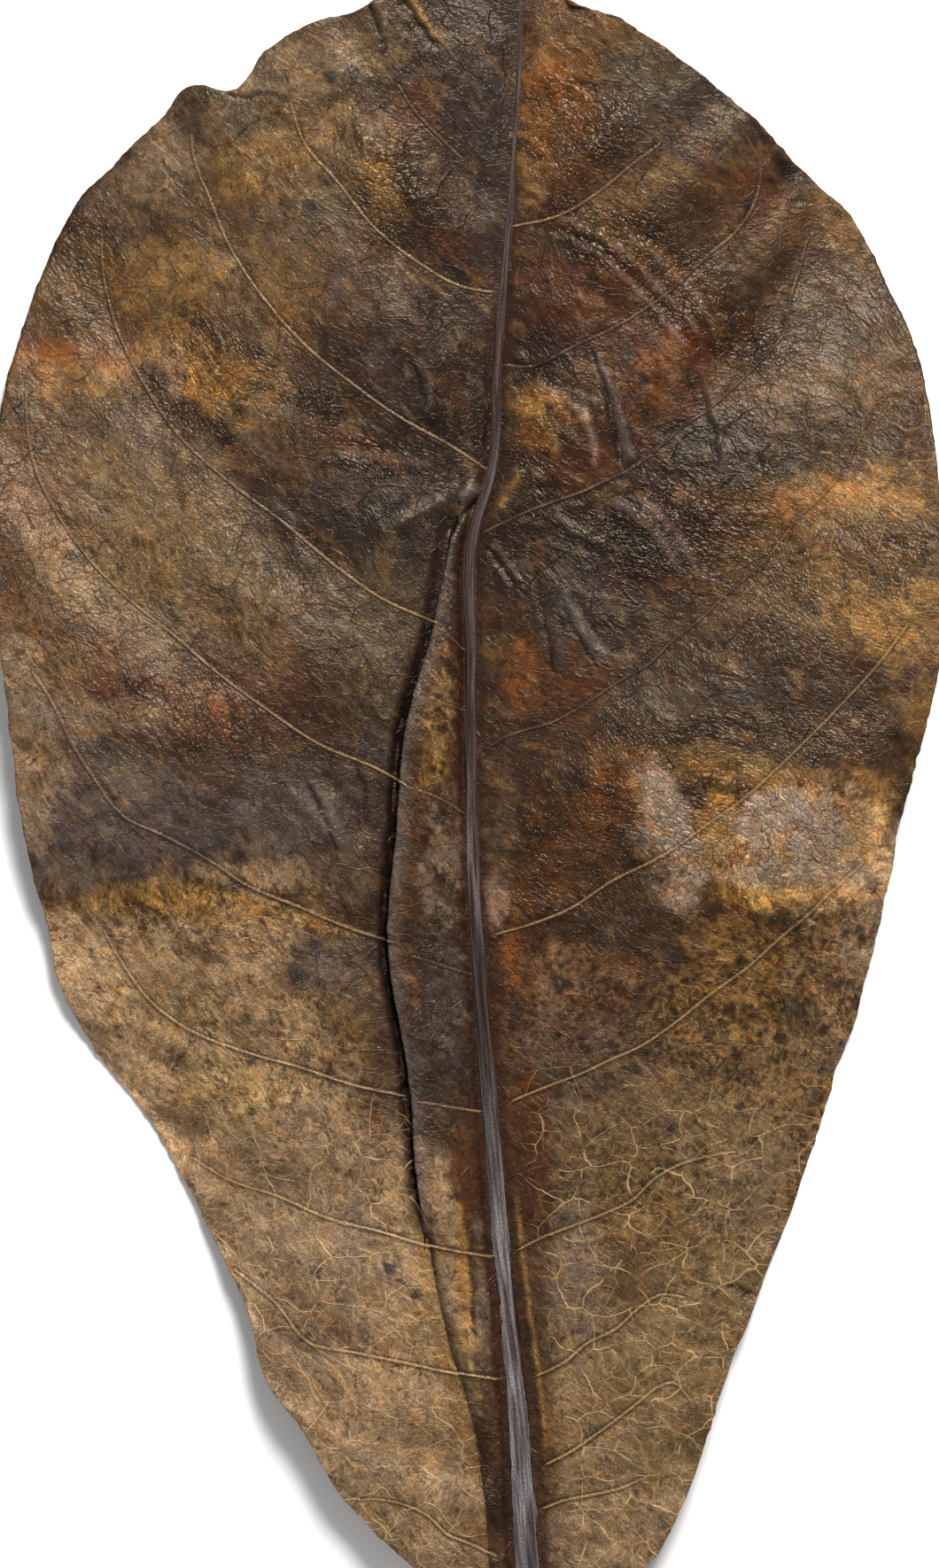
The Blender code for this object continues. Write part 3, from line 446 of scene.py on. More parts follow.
RIGHT_WASHES = [
    ("ochre", 645, 70, 50, 60, 0.3), ("umber", 690, 60, 30, 30, 0.4), ("orange", 610, 120, 24, 60, 0.6),
    ("ochre", 628, 165, 30, 40, 0.5), ("khaki", 720, 50, 50, 24, 0.5, 20),
    ("olive_grey", 770, 112, 80, 36, 0.8, 20), ("slate_dark", 760, 120, 30, 20, 0.5, 20),
    ("khaki", 822, 165, 34, 34, 0.5), ("char_and_shade", 893, 188, 30, 10, 0.9, 40),
    ("rust", 870, 228, 44, 28, 0.6, 30), ("ochre", 720, 215, 60, 22, 0.4, -20),
    ("brown", 640, 262, 50, 30, 0.5), ("gold", 700, 270, 70, 14, 0.35, 30),
    ("umber", 790, 240, 60, 34, 0.5), ("umber", 850, 300, 50, 44, 0.4), ("ochre", 920, 280, 44, 50, 0.4),
    ("olive_grey", 990, 340, 40, 80, 0.6), ("ochre", 1010, 430, 30, 30, 0.4),
    ("orange", 875, 365, 40, 22, 0.6, -30), ("gold", 790, 350, 60, 14, 0.3, 40),
    ("brown", 750, 345, 50, 24, 0.4, 30), ("red_brown", 640, 330, 50, 40, 0.7),
    ("maroon", 610, 400, 50, 30, 0.8), ("rust", 715, 425, 44, 50, 0.65), ("orange", 735, 405, 24, 20, 0.4),
    ("rust", 770, 420, 44, 50, 0.6), ("orange", 610, 470, 30, 34, 0.7), ("gold", 605, 462, 22, 9, 0.6, 30),
    ("rust", 660, 530, 50, 24, 0.5, -20), ("gold", 690, 555, 30, 10, 0.4, -30),
    ("rust", 850, 425, 40, 24, 0.5), ("dark_brown", 870, 500, 90, 34, 0.7),
    ("umber", 960, 480, 50, 30, 0.5), ("gold", 930, 545, 90, 26, 0.6, -10),
    ("orange", 900, 565, 60, 20, 0.6, -10), ("gold", 1000, 575, 40, 12, 0.4),
    ("umber", 1030, 530, 30, 30, 0.5), ("brown", 830, 545, 50, 26, 0.5),
    ("maroon", 760, 600, 90, 44, 0.7, -10), ("dark_brown", 650, 600, 80, 50, 0.8),
    ("slate_dark", 640, 640, 60, 34, 0.4, 20), ("maroon", 590, 660, 34, 60, 0.7),
    ("slate_dark", 660, 690, 40, 34, 0.7, 40), ("dark_brown", 730, 690, 50, 34, 0.6),
    ("umber", 890, 640, 60, 30, 0.4), ("ochre", 980, 690, 70, 30, 0.6), ("gold", 1010, 720, 34, 44, 0.5),
    ("umber", 810, 720, 70, 30, 0.5, -10), ("brown", 860, 780, 140, 44, 0.75),
    ("slate_dark", 830, 775, 60, 26, 0.4), ("umber", 1000, 840, 34, 44, 0.5),
    ("olive_grey", 740, 795, 60, 26, 0.6), ("rust", 640, 775, 50, 50, 0.6),
    ("orange", 585, 760, 20, 50, 0.4), ("ochre", 800, 866, 80, 18, 0.5, 10),
    ("gold", 700, 870, 40, 30, 0.3, 40), ("sheen", 760, 925, 22, 80, 0.55, -25),
    ("lilac_highlight", 768, 950, 12, 44, 0.5, -12), ("orange", 834, 938, 14, 26, 0.75, 10),
    ("cream_and_highlight", 905, 935, 70, 40, 0.7), ("cream_and_highlight", 960, 975, 60, 34, 0.6),
    ("gold", 830, 905, 60, 14, 0.5, -30), ("orange", 832, 1020, 20, 26, 0.6),
    ("sheen", 770, 1005, 20, 24, 0.5), ("gold", 890, 1000, 60, 20, 0.5),
    ("dark_brown", 885, 1044, 26, 12, 0.7), ("tan", 960, 1000, 34, 30, 0.5),
    ("brown", 610, 880, 50, 60, 0.7), ("rust", 655, 955, 60, 54, 0.5), ("umber", 710, 975, 44, 40, 0.5),
    ("sheen", 562, 1015, 14, 30, 0.35), ("brown", 740, 1065, 70, 30, 0.5),
    ("rust", 588, 1110, 24, 100, 0.7), ("orange", 580, 1110, 12, 80, 0.4),
    ("brown", 660, 1110, 50, 44, 0.5), ("slate", 655, 1165, 50, 34, 0.6),
    ("ochre", 850, 1130, 110, 60, 0.6, -20), ("orange", 950, 1085, 40, 40, 0.4),
    ("umber", 790, 1200, 70, 34, 0.4), ("ochre", 910, 1200, 44, 60, 0.5),
    ("orange", 590, 1235, 24, 16, 0.5), ("red_brown", 600, 1320, 20, 80, 0.8),
    ("khaki", 700, 1290, 70, 50, 0.5), ("tan", 830, 1280, 70, 50, 0.4), ("ochre", 740, 1380, 70, 40, 0.4),
    ("slate_tan", 655, 1460, 17, 90, 0.6), ("umber", 700, 1440, 34, 40, 0.4),
    ("olive", 790, 1420, 50, 60, 0.4), ("olive", 720, 1560, 70, 80, 0.5), ("tan", 680, 1670, 50, 60, 0.5),
    ("olive_grey", 750, 1715, 24, 34, 0.4), ("umber", 618, 1620, 12, 100, 0.6),
    ("maroon", 625, 1735, 24, 34, 0.6), ("tan", 700, 1765, 60, 34, 0.8), ("tan", 985, 1050, 40, 44, 0.8),
    ("cream_and_highlight", 900, 960, 90, 50, 0.6), ("umber", 950, 320, 110, 90, 0.85),
    ("brown", 870, 390, 60, 34, 0.6, -20), ("brown", 920, 500, 100, 34, 0.85),
    ("dark_brown", 800, 510, 60, 34, 0.6), ("rust", 640, 180, 34, 60, 0.6),
    ("russet", 640, 985, 60, 40, 0.6), ("sheen", 750, 965, 30, 60, 0.35, -20),
    ("umber", 810, 640, 60, 34, 0.6), ("ochre", 960, 430, 60, 24, 0.5), ("tan", 940, 1100, 50, 44, 0.5),
    ("russet", 655, 1105, 70, 50, 0.6), ("ochre", 810, 865, 60, 22, 0.6, 10),
    ("maroon", 690, 385, 44, 34, 0.6), ("brown", 925, 500, 80, 24, 0.5), ("ochre", 1050, 800, 30, 40, 0.7),
    ("tan", 990, 1050, 34, 40, 0.5), ("bright_gold", 880, 985, 60, 34, 0.5),
    ("orange", 700, 900, 60, 34, 0.4, -30), ("cream_and_highlight", 750, 935, 22, 60, 0.4, -20),
    ("cream_and_highlight", 905, 955, 90, 60, 0.8), ("pearl_highlight", 895, 930, 60, 34, 0.8),
    ("pearl_highlight", 755, 925, 18, 70, 0.7, -20), ("cream_and_highlight", 930, 985, 60, 26, 0.8),
    ("tan", 840, 1350, 60, 60, 0.5), ("tan", 930, 1160, 44, 60, 0.5), ("ochre", 640, 1590, 20, 70, 0.6),
    ("tan", 640, 1740, 40, 50, 0.5), ("olive", 1000, 280, 60, 110, 0.7), ("brown", 985, 330, 60, 60, 0.7),
    ("ochre", 1010, 400, 30, 50, 0.5), ("dark_brown", 810, 510, 60, 30, 0.9),
    ("ochre", 810, 1050, 50, 24, 0.6), ("tan", 990, 1050, 34, 34, 0.6),
    ("slate_tan", 640, 1170, 44, 34, 0.6), ("brown", 900, 535, 60, 14, 0.4, -10),
    ("rust", 700, 330, 60, 40, 0.4), ("char_and_shade", 810, 512, 60, 34, 0.7), ("char_and_shade", 700, 620, 80, 34, 0.4, 10),
    ("maroon", 760, 660, 80, 26, 0.5), ("dark_brown", 980, 320, 50, 50, 0.6),
    ("dark_brown", 930, 380, 50, 30, 0.5), ("ochre", 930, 1110, 40, 30, 0.7),
    ("rust", 690, 1110, 40, 30, 0.6), ("tan", 750, 1715, 34, 34, 0.7), ("tan", 640, 1580, 16, 70, 0.5),
    ("pearl_highlight", 900, 985, 70, 20, 0.5), ("gold", 880, 880, 90, 20, 0.5, 10),
    ("bright_gold", 900, 1010, 90, 14, 0.6), ("bright_gold", 985, 930, 24, 60, 0.4),
    ("orange", 834, 940, 14, 50, 0.85, 10), ("char_and_shade", 595, 610, 50, 60, 0.4),
    ("char_and_shade", 600, 400, 40, 26, 0.4), ("ochre", 970, 230, 50, 90, 0.5), ("ochre", 900, 420, 80, 24, 0.4),
    ("rust", 640, 1140, 26, 60, 0.5), ("tan", 690, 1110, 34, 24, 0.3), ("pearl_highlight", 880, 930, 70, 40, 0.6),
    ("tan", 925, 1110, 44, 30, 0.7), ("tan", 630, 1110, 30, 40, 0.4), ("pale_tan", 985, 1055, 26, 26, 0.7),
    ("dun", 575, 1170, 14, 60, 0.6), ("dun", 570, 930, 14, 60, 0.5), ("ochre", 930, 1110, 34, 24, 0.5),
    ("bright_gold", 810, 930, 20, 50, 0.6), ("dark_brown", 830, 510, 90, 26, 0.6),
    ("gold", 970, 560, 60, 14, 0.5), ("bright_gold", 620, 460, 40, 20, 0.4, 20),
    ("orange", 640, 90, 34, 60, 0.4), ("gold", 600, 170, 20, 60, 0.4), ("umber", 630, 30, 50, 34, 0.5),
    ("brown", 960, 370, 120, 110, 0.7), ("dusk", 810, 130, 60, 40, 0.5, 30),
    ("umber", 1010, 640, 70, 24, 0.6), ("olive", 820, 1250, 110, 90, 0.5, -20),
]

# Stains and bleached patches all over: colour, size, shift of the noise, level above which it shows, strength
STAINS = [
    ("dark_brown", 46, 11, 0.34, 0.5), ("rust", 54, -23, 0.42, 0.3), ("ochre", 32, 61, 0.4, 0.3),
    ("dark_brown", 20, 83, 0.42, 0.45), ("tan", 27, -47, 0.45, 0.3), ("char_and_shade", 13, 5, 0.62, 0.4),
]

# Single dark spots: x, y, radius
SPOTS = [
    (373, 88, 8), (398, 86, 8), (435, 60, 6), (350, 236, 10), (708, 402, 8), (725, 428, 8), (620, 460, 6),
    (655, 465, 6), (838, 789, 9), (678, 1278, 7), (758, 1271, 7), (835, 1250, 7), (846, 228, 7),
    (335, 1100, 10), (283, 1198, 7), (440, 1430, 9), (358, 1435, 8), (470, 1460, 7), (345, 1508, 7),
]

# Where the sheet is speckled: x, y, reach along and across, strength, turn where there is one
SPECKLED = [
    (850, 1130, 150, 90, 1.0, -20), (640, 1130, 90, 110, 0.7), (900, 1250, 80, 80, 0.6),
    (740, 1340, 110, 90, 0.5), (490, 850, 30, 120, 0.8), (490, 1120, 40, 160, 0.6),
    (260, 1030, 180, 40, 0.7), (130, 700, 120, 80, 0.5), (420, 780, 80, 60, 0.6), (340, 1200, 130, 90, 0.4),
]

# Glossy places with coarser wrinkles, lower roughness and stronger painted shade and glints on their folds,
# in the same columns
GLOSSY = [
    (645, 150, 60, 60, 0.8), (700, 275, 90, 34, 1.0, 25), (800, 360, 90, 34, 0.9, 30),
    (430, 205, 40, 80, 0.9, -30), (230, 425, 60, 80, 1.0, -35), (330, 470, 60, 40, 0.6, 30),
    (420, 515, 60, 20, 0.8, 8), (600, 480, 50, 60, 0.7), (780, 600, 110, 60, 0.7), (720, 890, 60, 80, 0.8),
    (780, 940, 70, 90, 1.0), (900, 940, 80, 70, 0.9), (940, 660, 100, 90, 0.5), (850, 840, 160, 40, 0.5),
    (660, 960, 80, 80, 0.6), (215, 1265, 34, 24, 0.8, 30), (180, 820, 110, 50, 0.4),
    (100, 300, 60, 90, 0.4),
]


def ease(value):
    """0 below 0, 1 above 1 and smooth between."""
    value = np.clip(value, 0.0, 1.0)
    return value * value * (3 - 2 * value)


def begun(at, span):
    """0 before a span, 1 after it and smooth between. A span is its start and its length."""
    start, length = span
    return ease((at - start) / length)


def arch(t):
    """A parabola that is 0 at both ends and 1 in the middle."""
    return 4 * t * (1 - t)


def bell(value, width):
    """1 where the value is 0, falling to 0 over about the width on either side."""
    return np.exp(-((value / width) ** 2))


def turned(x, y, degrees):
    """Places in axes that are turned by an angle."""
    cosine, sine = math.cos(math.radians(degrees)), math.sin(math.radians(degrees))
    return x * cosine + y * sine, y * cosine - x * sine


def travelled(steps):
    """Distance travelled before the first step and after each step."""
    return np.concatenate([[0], np.cumsum(steps)])


def curve(table, column, at):
    """Smooth cubic through one column of a table whose first column increases."""
    knots = np.array([row[0] for row in table], float)
    values = np.array([row[column] for row in table], float)
    slopes = np.gradient(values, knots)
    k = np.clip(np.searchsorted(knots, at, side="right") - 1, 0, len(knots) - 2)
    step = knots[k + 1] - knots[k]
    s = np.clip((at - knots[k]) / step, 0.0, 1.0)
    return (
        (1 + 2 * s) * (1 - s) ** 2 * values[k]
        + s * (1 - s) ** 2 * step * slopes[k]
        + s * s * (3 - 2 * s) * values[k + 1]
        + s * s * (s - 1) * step * slopes[k + 1]
    )


# Cells along each side of a noise before it repeats
LATTICE = 256


class Noise:
    """Smooth seeded noise over a plane, about -1 to 1, with bumps about 1 wide."""

    def __init__(self, seed):
        turn = np.random.default_rng(seed).uniform(0, TAU, (LATTICE, LATTICE))
        self.slope_x, self.slope_y = np.cos(turn), np.sin(turn)

    def __call__(self, x, y):
        column, row = np.floor(x).astype(int), np.floor(y).astype(int)
        inside_x, inside_y = x - column, y - row
        blend_x, blend_y = ease(inside_x), ease(inside_y)
        total = 0.0
        for corner_x, weight_x in ((0, 1 - blend_x), (1, blend_x)):
            for corner_y, weight_y in ((0, 1 - blend_y), (1, blend_y)):
                at = (row + corner_y) % LATTICE, (column + corner_x) % LATTICE
                rise = self.slope_x[at] * (inside_x - corner_x) + self.slope_y[at] * (inside_y - corner_y)
                total = total + rise * weight_x * weight_y
        return 1.6 * total

    def rough(self, x, y, layers):
        """The noise with finer layers on top."""
        total, weight = 0.0, 1.0
        for layer in range(layers):
            scale = 2.03**layer
            total = total + weight * self(x * scale + 17.3 * layer, y * scale - 9.1 * layer)
            weight *= 0.6
        return total / 1.4

    def moved(self, x, y, reach, size, shift):
        """Places moved about smoothly, up to the reach, in bumps of a size."""
        moved_x = x + reach * self(x / size, y / size)
        moved_y = y + reach * self(x / size + shift[0], y / size + shift[1])
        return moved_x, moved_y


FRAY = Noise(3)
WANDER = Noise(5)
MOTTLE = Noise(8)
PATCH = Noise(13)
GRIT = Noise(21)
CRINKLE = Noise(34)
DRIFT = Noise(55)


def cells(x, y, seed, jitter=0.9):
    """Distance to the nearest and second nearest point of a jittered lattice, and that cell's number."""
    draw = np.random.default_rng(seed)
    shift_x, shift_y = jitter * draw.uniform(-0.5, 0.5, (2, LATTICE, LATTICE))
    own = draw.uniform(0, 1, (LATTICE, LATTICE))
    column, row = np.floor(x).astype(int), np.floor(y).astype(int)
    first = np.full(np.shape(x), 9.0)
    second = np.full(np.shape(x), 9.0)
    number = np.zeros(np.shape(x))
    for step_x in (-1, 0, 1):
        for step_y in (-1, 0, 1):
            at = (row + step_y) % LATTICE, (column + step_x) % LATTICE
            away = np.hypot(column + step_x + 0.5 + shift_x[at] - x, row + step_y + 0.5 + shift_y[at] - y)
            nearer = away < first
            second = np.where(nearer, first, np.minimum(second, away))
            number = np.where(nearer, own[at], number)
            first = np.where(nearer, away, first)
    return first, second, number


def smooth_path(path, step=9.0):
    """A path through all the given places, drawn out into short straight pieces."""
    places = np.array(path, float)
    travel = travelled(np.hypot(*np.diff(places, axis=0).T))
    wanted = np.linspace(0, travel[-1], max(2, int(travel[-1] / step)) + 1)
    if len(places) < 3:
        return np.stack([np.interp(wanted, travel, places[:, k]) for k in (0, 1)], axis=1)
    table = [(t, *place) for t, place in zip(travel, places)]
    return np.stack([curve(table, k, wanted) for k in (1, 2)], axis=1)


class NearPath:
    """Places within reach of a path: which and where they are, and how they lie to it."""

    def __init__(self, x, y, path, reach):
        points = smooth_path(path)
        low, high = points.min(axis=0) - reach, points.max(axis=0) + reach
        self.chosen = np.flatnonzero((x > low[0]) & (x < high[0]) & (y > low[1]) & (y < high[1]))
        self.x, self.y = x.ravel()[self.chosen], y.ravel()[self.chosen]
        px, py = self.x[:, None], self.y[:, None]
        start, run = points[:-1], np.diff(points, axis=0)
        share = ((px - start[:, 0]) * run[:, 0] + (py - start[:, 1]) * run[:, 1]) / (run**2).sum(axis=1)
        share = np.clip(share, 0, 1)
        gap_x = px - start[:, 0] - share * run[:, 0]
        gap_y = py - start[:, 1] - share * run[:, 1]
        away = np.hypot(gap_x, gap_y)
        nearest = away.argmin(axis=1)
        each = np.arange(len(self.chosen)), nearest
        self.away = away[each]
        self.along = (nearest + share[each]) / len(run)
        self.side = np.sign(run[nearest, 0] * gap_y[each] - run[nearest, 1] * gap_x[each])

    def stain(self, tint, colour, mask):
        """Mixes the tint at the chosen places towards a colour of the palette."""
        tint[self.chosen] += (PAINT[colour] - tint[self.chosen]) * mask[:, None]


# Light that the gloss adds to every colour, and the darkest and brightest paint
GLOSS_VEIL = np.array((0.008, 0.011, 0.012))
DARKEST = 0.003
BRIGHTEST = 0.85

# Light and dark colours are drawn apart about this one, and how far
MIDDLE_LIGHT = 0.07
CONTRAST = 0.4


def paint(colour):
    """The diffuse colour that looks like the given one under the studio's light."""
    value = np.array(colour, float) / 255
    light = np.where(value <= 0.04045, value / 12.92, ((value + 0.055) / 1.055) ** 2.4)
    return np.maximum(light - GLOSS_VEIL, DARKEST)


PAINT = {name: paint(colour) for name, colour in PALETTE.items()}

# Teeth of the margin: height and length in plan units, and shift of the noise
TEETH = [(1.3, 9, 0.0), (1.6, 31, 7.5)]


class Half:
    """The layout of one half of the blade, on the left or the right of the midrib."""

    def __init__(self, rows, margin, heights, side):
        self.rows = rows
        self.heights = heights
        self.side = side
        row_numbers, row_starts = [row[0] for row in rows], [row[1] for row in rows]
        numbers = np.linspace(0, row_numbers[-1], 1201)
        inner_y = np.interp(numbers, row_numbers, row_starts)
        outer = np.stack([curve(margin, 1, numbers), curve(margin, 2, numbers)], axis=1)
        travel = travelled(np.hypot(*np.diff(outer, axis=0).T) + np.diff(inner_y))
        wanted = np.linspace(0, travel[-1], ROWS + 1)
        self.number = np.interp(wanted, travel, numbers)[:, None]
        self.y = np.interp(self.number, row_numbers, row_starts)
        self.start_x = curve(MIDRIB, 1, self.y)
        self.end_x = curve(margin, 1, self.number)
        self.end_y = curve(margin, 2, self.number)
        self.reach = np.abs(self.end_x - self.start_x)
        self.fray()

    def fray(self):
        """Small teeth and waves along the margin."""
        across, along = np.gradient(self.end_x[:, 0]), np.gradient(self.end_y[:, 0])
        length = np.hypot(across, along)
        travel = np.cumsum(length)[:, None]
        tooth = sum(height * FRAY(travel / size, travel * 0 + shift) for height, size, shift in TEETH)
        self.end_x = self.end_x + tooth * (-along / length)[:, None]
        self.end_y = self.end_y + tooth * (across / length)[:, None]

    def place(self, distance):
        """Plan place at a distance from the midrib's middle along each row, and its share of the row."""
        t = distance / self.reach
        middle_x = (self.start_x + self.end_x) / 2
        middle_y = curve(self.rows, 2, self.number)
        inner, outer = (2 * t - 1) * (t - 1), t * (2 * t - 1)
        x = self.start_x * inner + middle_x * arch(t) + self.end_x * outer
        y = self.y * inner + middle_y * arch(t) + self.end_y * outer
        return x, y, t

    def height(self, x, y, t):
        """Height of the sheet before its fold and its relief."""
        level = curve(MIDRIB, 3, self.y) + curve(MIDRIB, 4, self.y) - RIB_PROUD
        edge = curve(self.heights, 1, self.number)
        dome = curve(self.heights, 2, self.number)
        swell = 0.0
        for swell_x, swell_y, reach_x, reach_y, rise in SWELLS:
            away = ((x - swell_x) / reach_x) ** 2 + ((y - swell_y) / reach_y) ** 2
            swell = swell + rise * np.exp(-away)
        quilt = np.sin(math.pi * self.number) ** 2 * ease(t / QUILT_START) * (1 - QUILT_FADE * t)
        wave = np.sin(TAU * WAVES_PER_VEIN * self.number + self.side)
        wave = wave * ease((t - WAVE_START) / (1 - WAVE_START))
        broad = level + (edge - level) * t**RISE_POWER + dome * arch(t) * (1 - DOME_LEAN * t) + swell
        return broad + QUILT_HEIGHT * quilt + MARGIN_WAVE * wave


def above_table(height, lowest):
    """Keeps heights above the lowest without a kink."""
    return lowest + CONTACT_SOFTNESS * np.logaddexp(0, (height - lowest) / CONTACT_SOFTNESS)


def fold_column(section, column):
    """One column of a fold section as an array with a value for every point of it."""
    return np.array([row[column] for row in section])[None, :]


def no_zones(distance):
    """Zones of the fold where a sheet has none."""
    return {name: np.zeros(distance.shape) for name in ("gap", "upper_lip_highlight", "low_lip_highlight", "strip", "crease")}


def left_layout(half):
    """Distances from the midrib, lift and zones of the left sheet, its columns running towards the midrib."""
    y = half.y
    width = curve(MIDRIB, 2, y)
    crease = width + curve(CREASE, 1, y)
    pleat = curve(CREASE, 2, y)
    inside = np.minimum(FOLD_IN, 0.5 * (crease - width))
    under = begun(y, SWAP_SPAN)

    blade_share = np.linspace(1, 0, LEFT_BLADE_CELLS + 1)[None, :-1]
    blade = crease + FOLD_OUT + blade_share * (half.reach - crease - FOLD_OUT)
    flat = np.linspace(-FOLD_OUT, FOLD_IN, FOLD_CELLS + 1)[None, :]
    over_shift, under_shift = fold_column(STRIP_ON_BLADE, 0), fold_column(BLADE_ON_STRIP, 0)
    shift = flat + pleat * ((1 - under) * over_shift + under * under_shift - flat)
    shift = np.where(shift > 0, shift * inside / FOLD_IN, shift)
    strip_share = np.linspace(1, 0, STRIP_CELLS + 1)[None, 1:]
    strip = width + (crease - inside - width) * strip_share
    rib_share = np.linspace(1, RIB_INSET, RIB_CELLS + 1)[None, 1:]
    distance = np.concatenate([blade, crease - shift, strip, width * rib_share], axis=1)

    lip_fall = 1 - ease((blade - crease - FOLD_OUT) / LIP_FALL)
    blade_lift = under * fold_column(BLADE_ON_STRIP, 1)[:, :1] * LOW_LIP_HEIGHT * lip_fall
    fold_lift = (1 - under) * fold_column(STRIP_ON_BLADE, 1) * LIP_HEIGHT
    fold_lift = fold_lift + under * fold_column(BLADE_ON_STRIP, 1) * LOW_LIP_HEIGHT
    strip_lift = (1 - under) * LIP_HEIGHT * np.sin(0.5 * math.pi * strip_share**0.8)
    strip_lift = strip_lift + under * LOW_STRIP_HEIGHT * np.sin(math.pi * strip_share)
    rib_lift = np.zeros((len(y), RIB_CELLS))
    lift = pleat * np.concatenate([blade_lift, fold_lift, strip_lift, rib_lift], axis=1)

    zones = no_zones(distance)
    fold = slice(LEFT_BLADE_CELLS, LEFT_BLADE_CELLS + FOLD_CELLS + 1)
    # Painted shadow in the gap beside the crease, and painted highlights on the lips
    gap = (1 - under) * np.array(GAP_SHADOW_STRIP_ON_BLADE) + under * np.array(GAP_SHADOW_BLADE_ON_STRIP)
    zones["gap"][:, fold] = pleat * gap
    zones["upper_lip_highlight"][:, fold] = pleat * ((1 - under) * np.array(LIP_HIGHLIGHT_STRIP_ON_BLADE))
    zones["low_lip_highlight"][:, fold] = pleat * (under * np.array(LIP_HIGHLIGHT_BLADE_ON_STRIP))
    zones["strip"][:, LEFT_BLADE_CELLS + FOLD_CELLS // 2 + 1 :] = 1
    zones["strip"] *= begun(y, STRIP_SPAN)
    outside = np.clip(distance - crease - FOLD_OUT, 0, None)
    # Painted shade on the blade beside the crease, fading away from it
    zones["crease"] = pleat * np.exp(-outside / CREASE_SHADE) * (1 - zones["strip"]) * (1 - under)
    return distance, lift, zones


def right_layout(half):
    """The same for the right sheet, its columns running from the midrib to the margin."""
    width = curve(MIDRIB, 2, half.y)
    share = np.linspace(0, 1, RIGHT_BLADE_CELLS + 1)[None, :]
    blade = width + share * (half.reach - width)
    rib_share = np.linspace(RIB_INSET, 1, RIB_CELLS + 1)[None, :-1]
    distance = np.concatenate([width * rib_share, blade], axis=1)
    return distance, np.zeros(distance.shape), no_zones(distance)


# Edges of washes: how ragged, size of the notches in plan units, and how far out a wash can reach
RAGGEDNESS = 0.45
NOTCH_SIZE = 46
WASH_LIMIT = 2.1


def spread(x, y, wash, seed, step=0.0, softness=0.9):
    """How strongly a wash covers each place, with a ragged edge; step moves the edge from cell to cell."""
    wash_x, wash_y, along, across, strength, *turn = wash
    u, v = turned(x - wash_x, y - wash_y, turn[0] if turn else 0)
    u, v = u / along, v / across
    mask = np.zeros(np.shape(x))
    near = (np.abs(u) < WASH_LIMIT) & (np.abs(v) < WASH_LIMIT)
    px, py = x[near], y[near]
    ragged = RAGGEDNESS * PATCH.rough(px / NOTCH_SIZE + 3.7 * seed, py / NOTCH_SIZE - 5.9 * seed, 5)
    away = np.hypot(u[near], v[near]) + ragged
    if np.ndim(step):
        away = away + step[near]
    mask[near] = ease((1.0 + softness / 2 - away) / softness)
    return mask * strength


def coverage(x, y, places):
    """Strongest cover of any of the places."""
    cover = np.zeros(np.shape(x))
    for seed, place in enumerate(places):
        cover = np.maximum(cover, spread(x, y, place, seed))
    return cover


def tinted(tint, colour, mask):
    """A tint mixed towards one colour of the palette."""
    return tint + (PAINT[colour] - tint) * np.clip(mask, 0, 1)[..., None]


# Lines are known this far from their middle, in plan units, and FAR says that there is none
LINE_REACH = 12
FAR = 20
VEIN_PALENESS = {
    "slate": 0.2, "umber": 0.1, "khaki": 0.4, "slate_tan": 0.5, "tan": 0.6, "vein_tan": 0.8, "vein_gold": 1.0
}

# Turn of the wrinkles' grain and of the fine veins' ladders in degrees, on the left and the right
GRAIN_TURN = {-1: 46, 1: 30}
LADDER_TURN = {-1: 118, 1: 62}

# Length and breadth of wrinkles, lumps and ladder steps, and sizes of the nets' cells, in plan units
WRINKLE_SIZE = (100, 27)
LUMP_SIZE = (22, 15)
LADDER_SIZE = (92, 34)
NET_SIZE = 24
SMALL_SIZE = 12.5
NET_LINE_WIDTH = 3.0

# Heights of the relief in millimetres, and how deep veins and creases are as shares of their tables
BUCKLE_HEIGHT = 0.16
CRINKLE_HEIGHT = 0.11
LADDER_HEIGHT = 0.05
NET_HEIGHT = 0.025
FACET_HEIGHT = 0.14
FACET_GROOVE = 0.2
FLANK_GROOVE = 0.28
VEIN_RIDGE = 0.4
VEIN_TRENCH = 0.3
CREASE_SHARE = 0.7

# Spans over which things begin or end, in plan units
CALM_SPAN = (1100, 160)
PALE_NET_SPAN = (1120, 260)
RIGHT_BAND_SPAN = (850, 90)
BAND_START_SPAN = (400, 60)
BAND_END_SPAN = (700, 120)
OPEN_BLADE_SPAN = (14, 30)
FLANK_SPAN = (180, 160)
RIM_START_SPAN = (1330, 60)
RIM_END_SPAN = (1600, 60)

# Widths in plan units: the painted shade of the midrib's flank, its golden rim of painted highlight and how
# far out that lies, and facet edges
FLANK_WIDTH = 5.5
RIM_WIDTH = 2.6
RIM_AWAY = 9
FACET_EDGE = 2.5
FACET_MARGIN = 8

# Washes: seed of the first, how much the cells move their edges, and softness of the edges
GROUND_EDGE = (80, 0.4, 0.9)
WASH_EDGE = (0, 0.6, 0.6)
STRIP_EDGE = (50, 1.0, 0.5)

# Speckles: size of a cell, seed, and how much the cover helps them
SPECKLES = [(13, 201, 0.5), (24, 202, 0.35)]


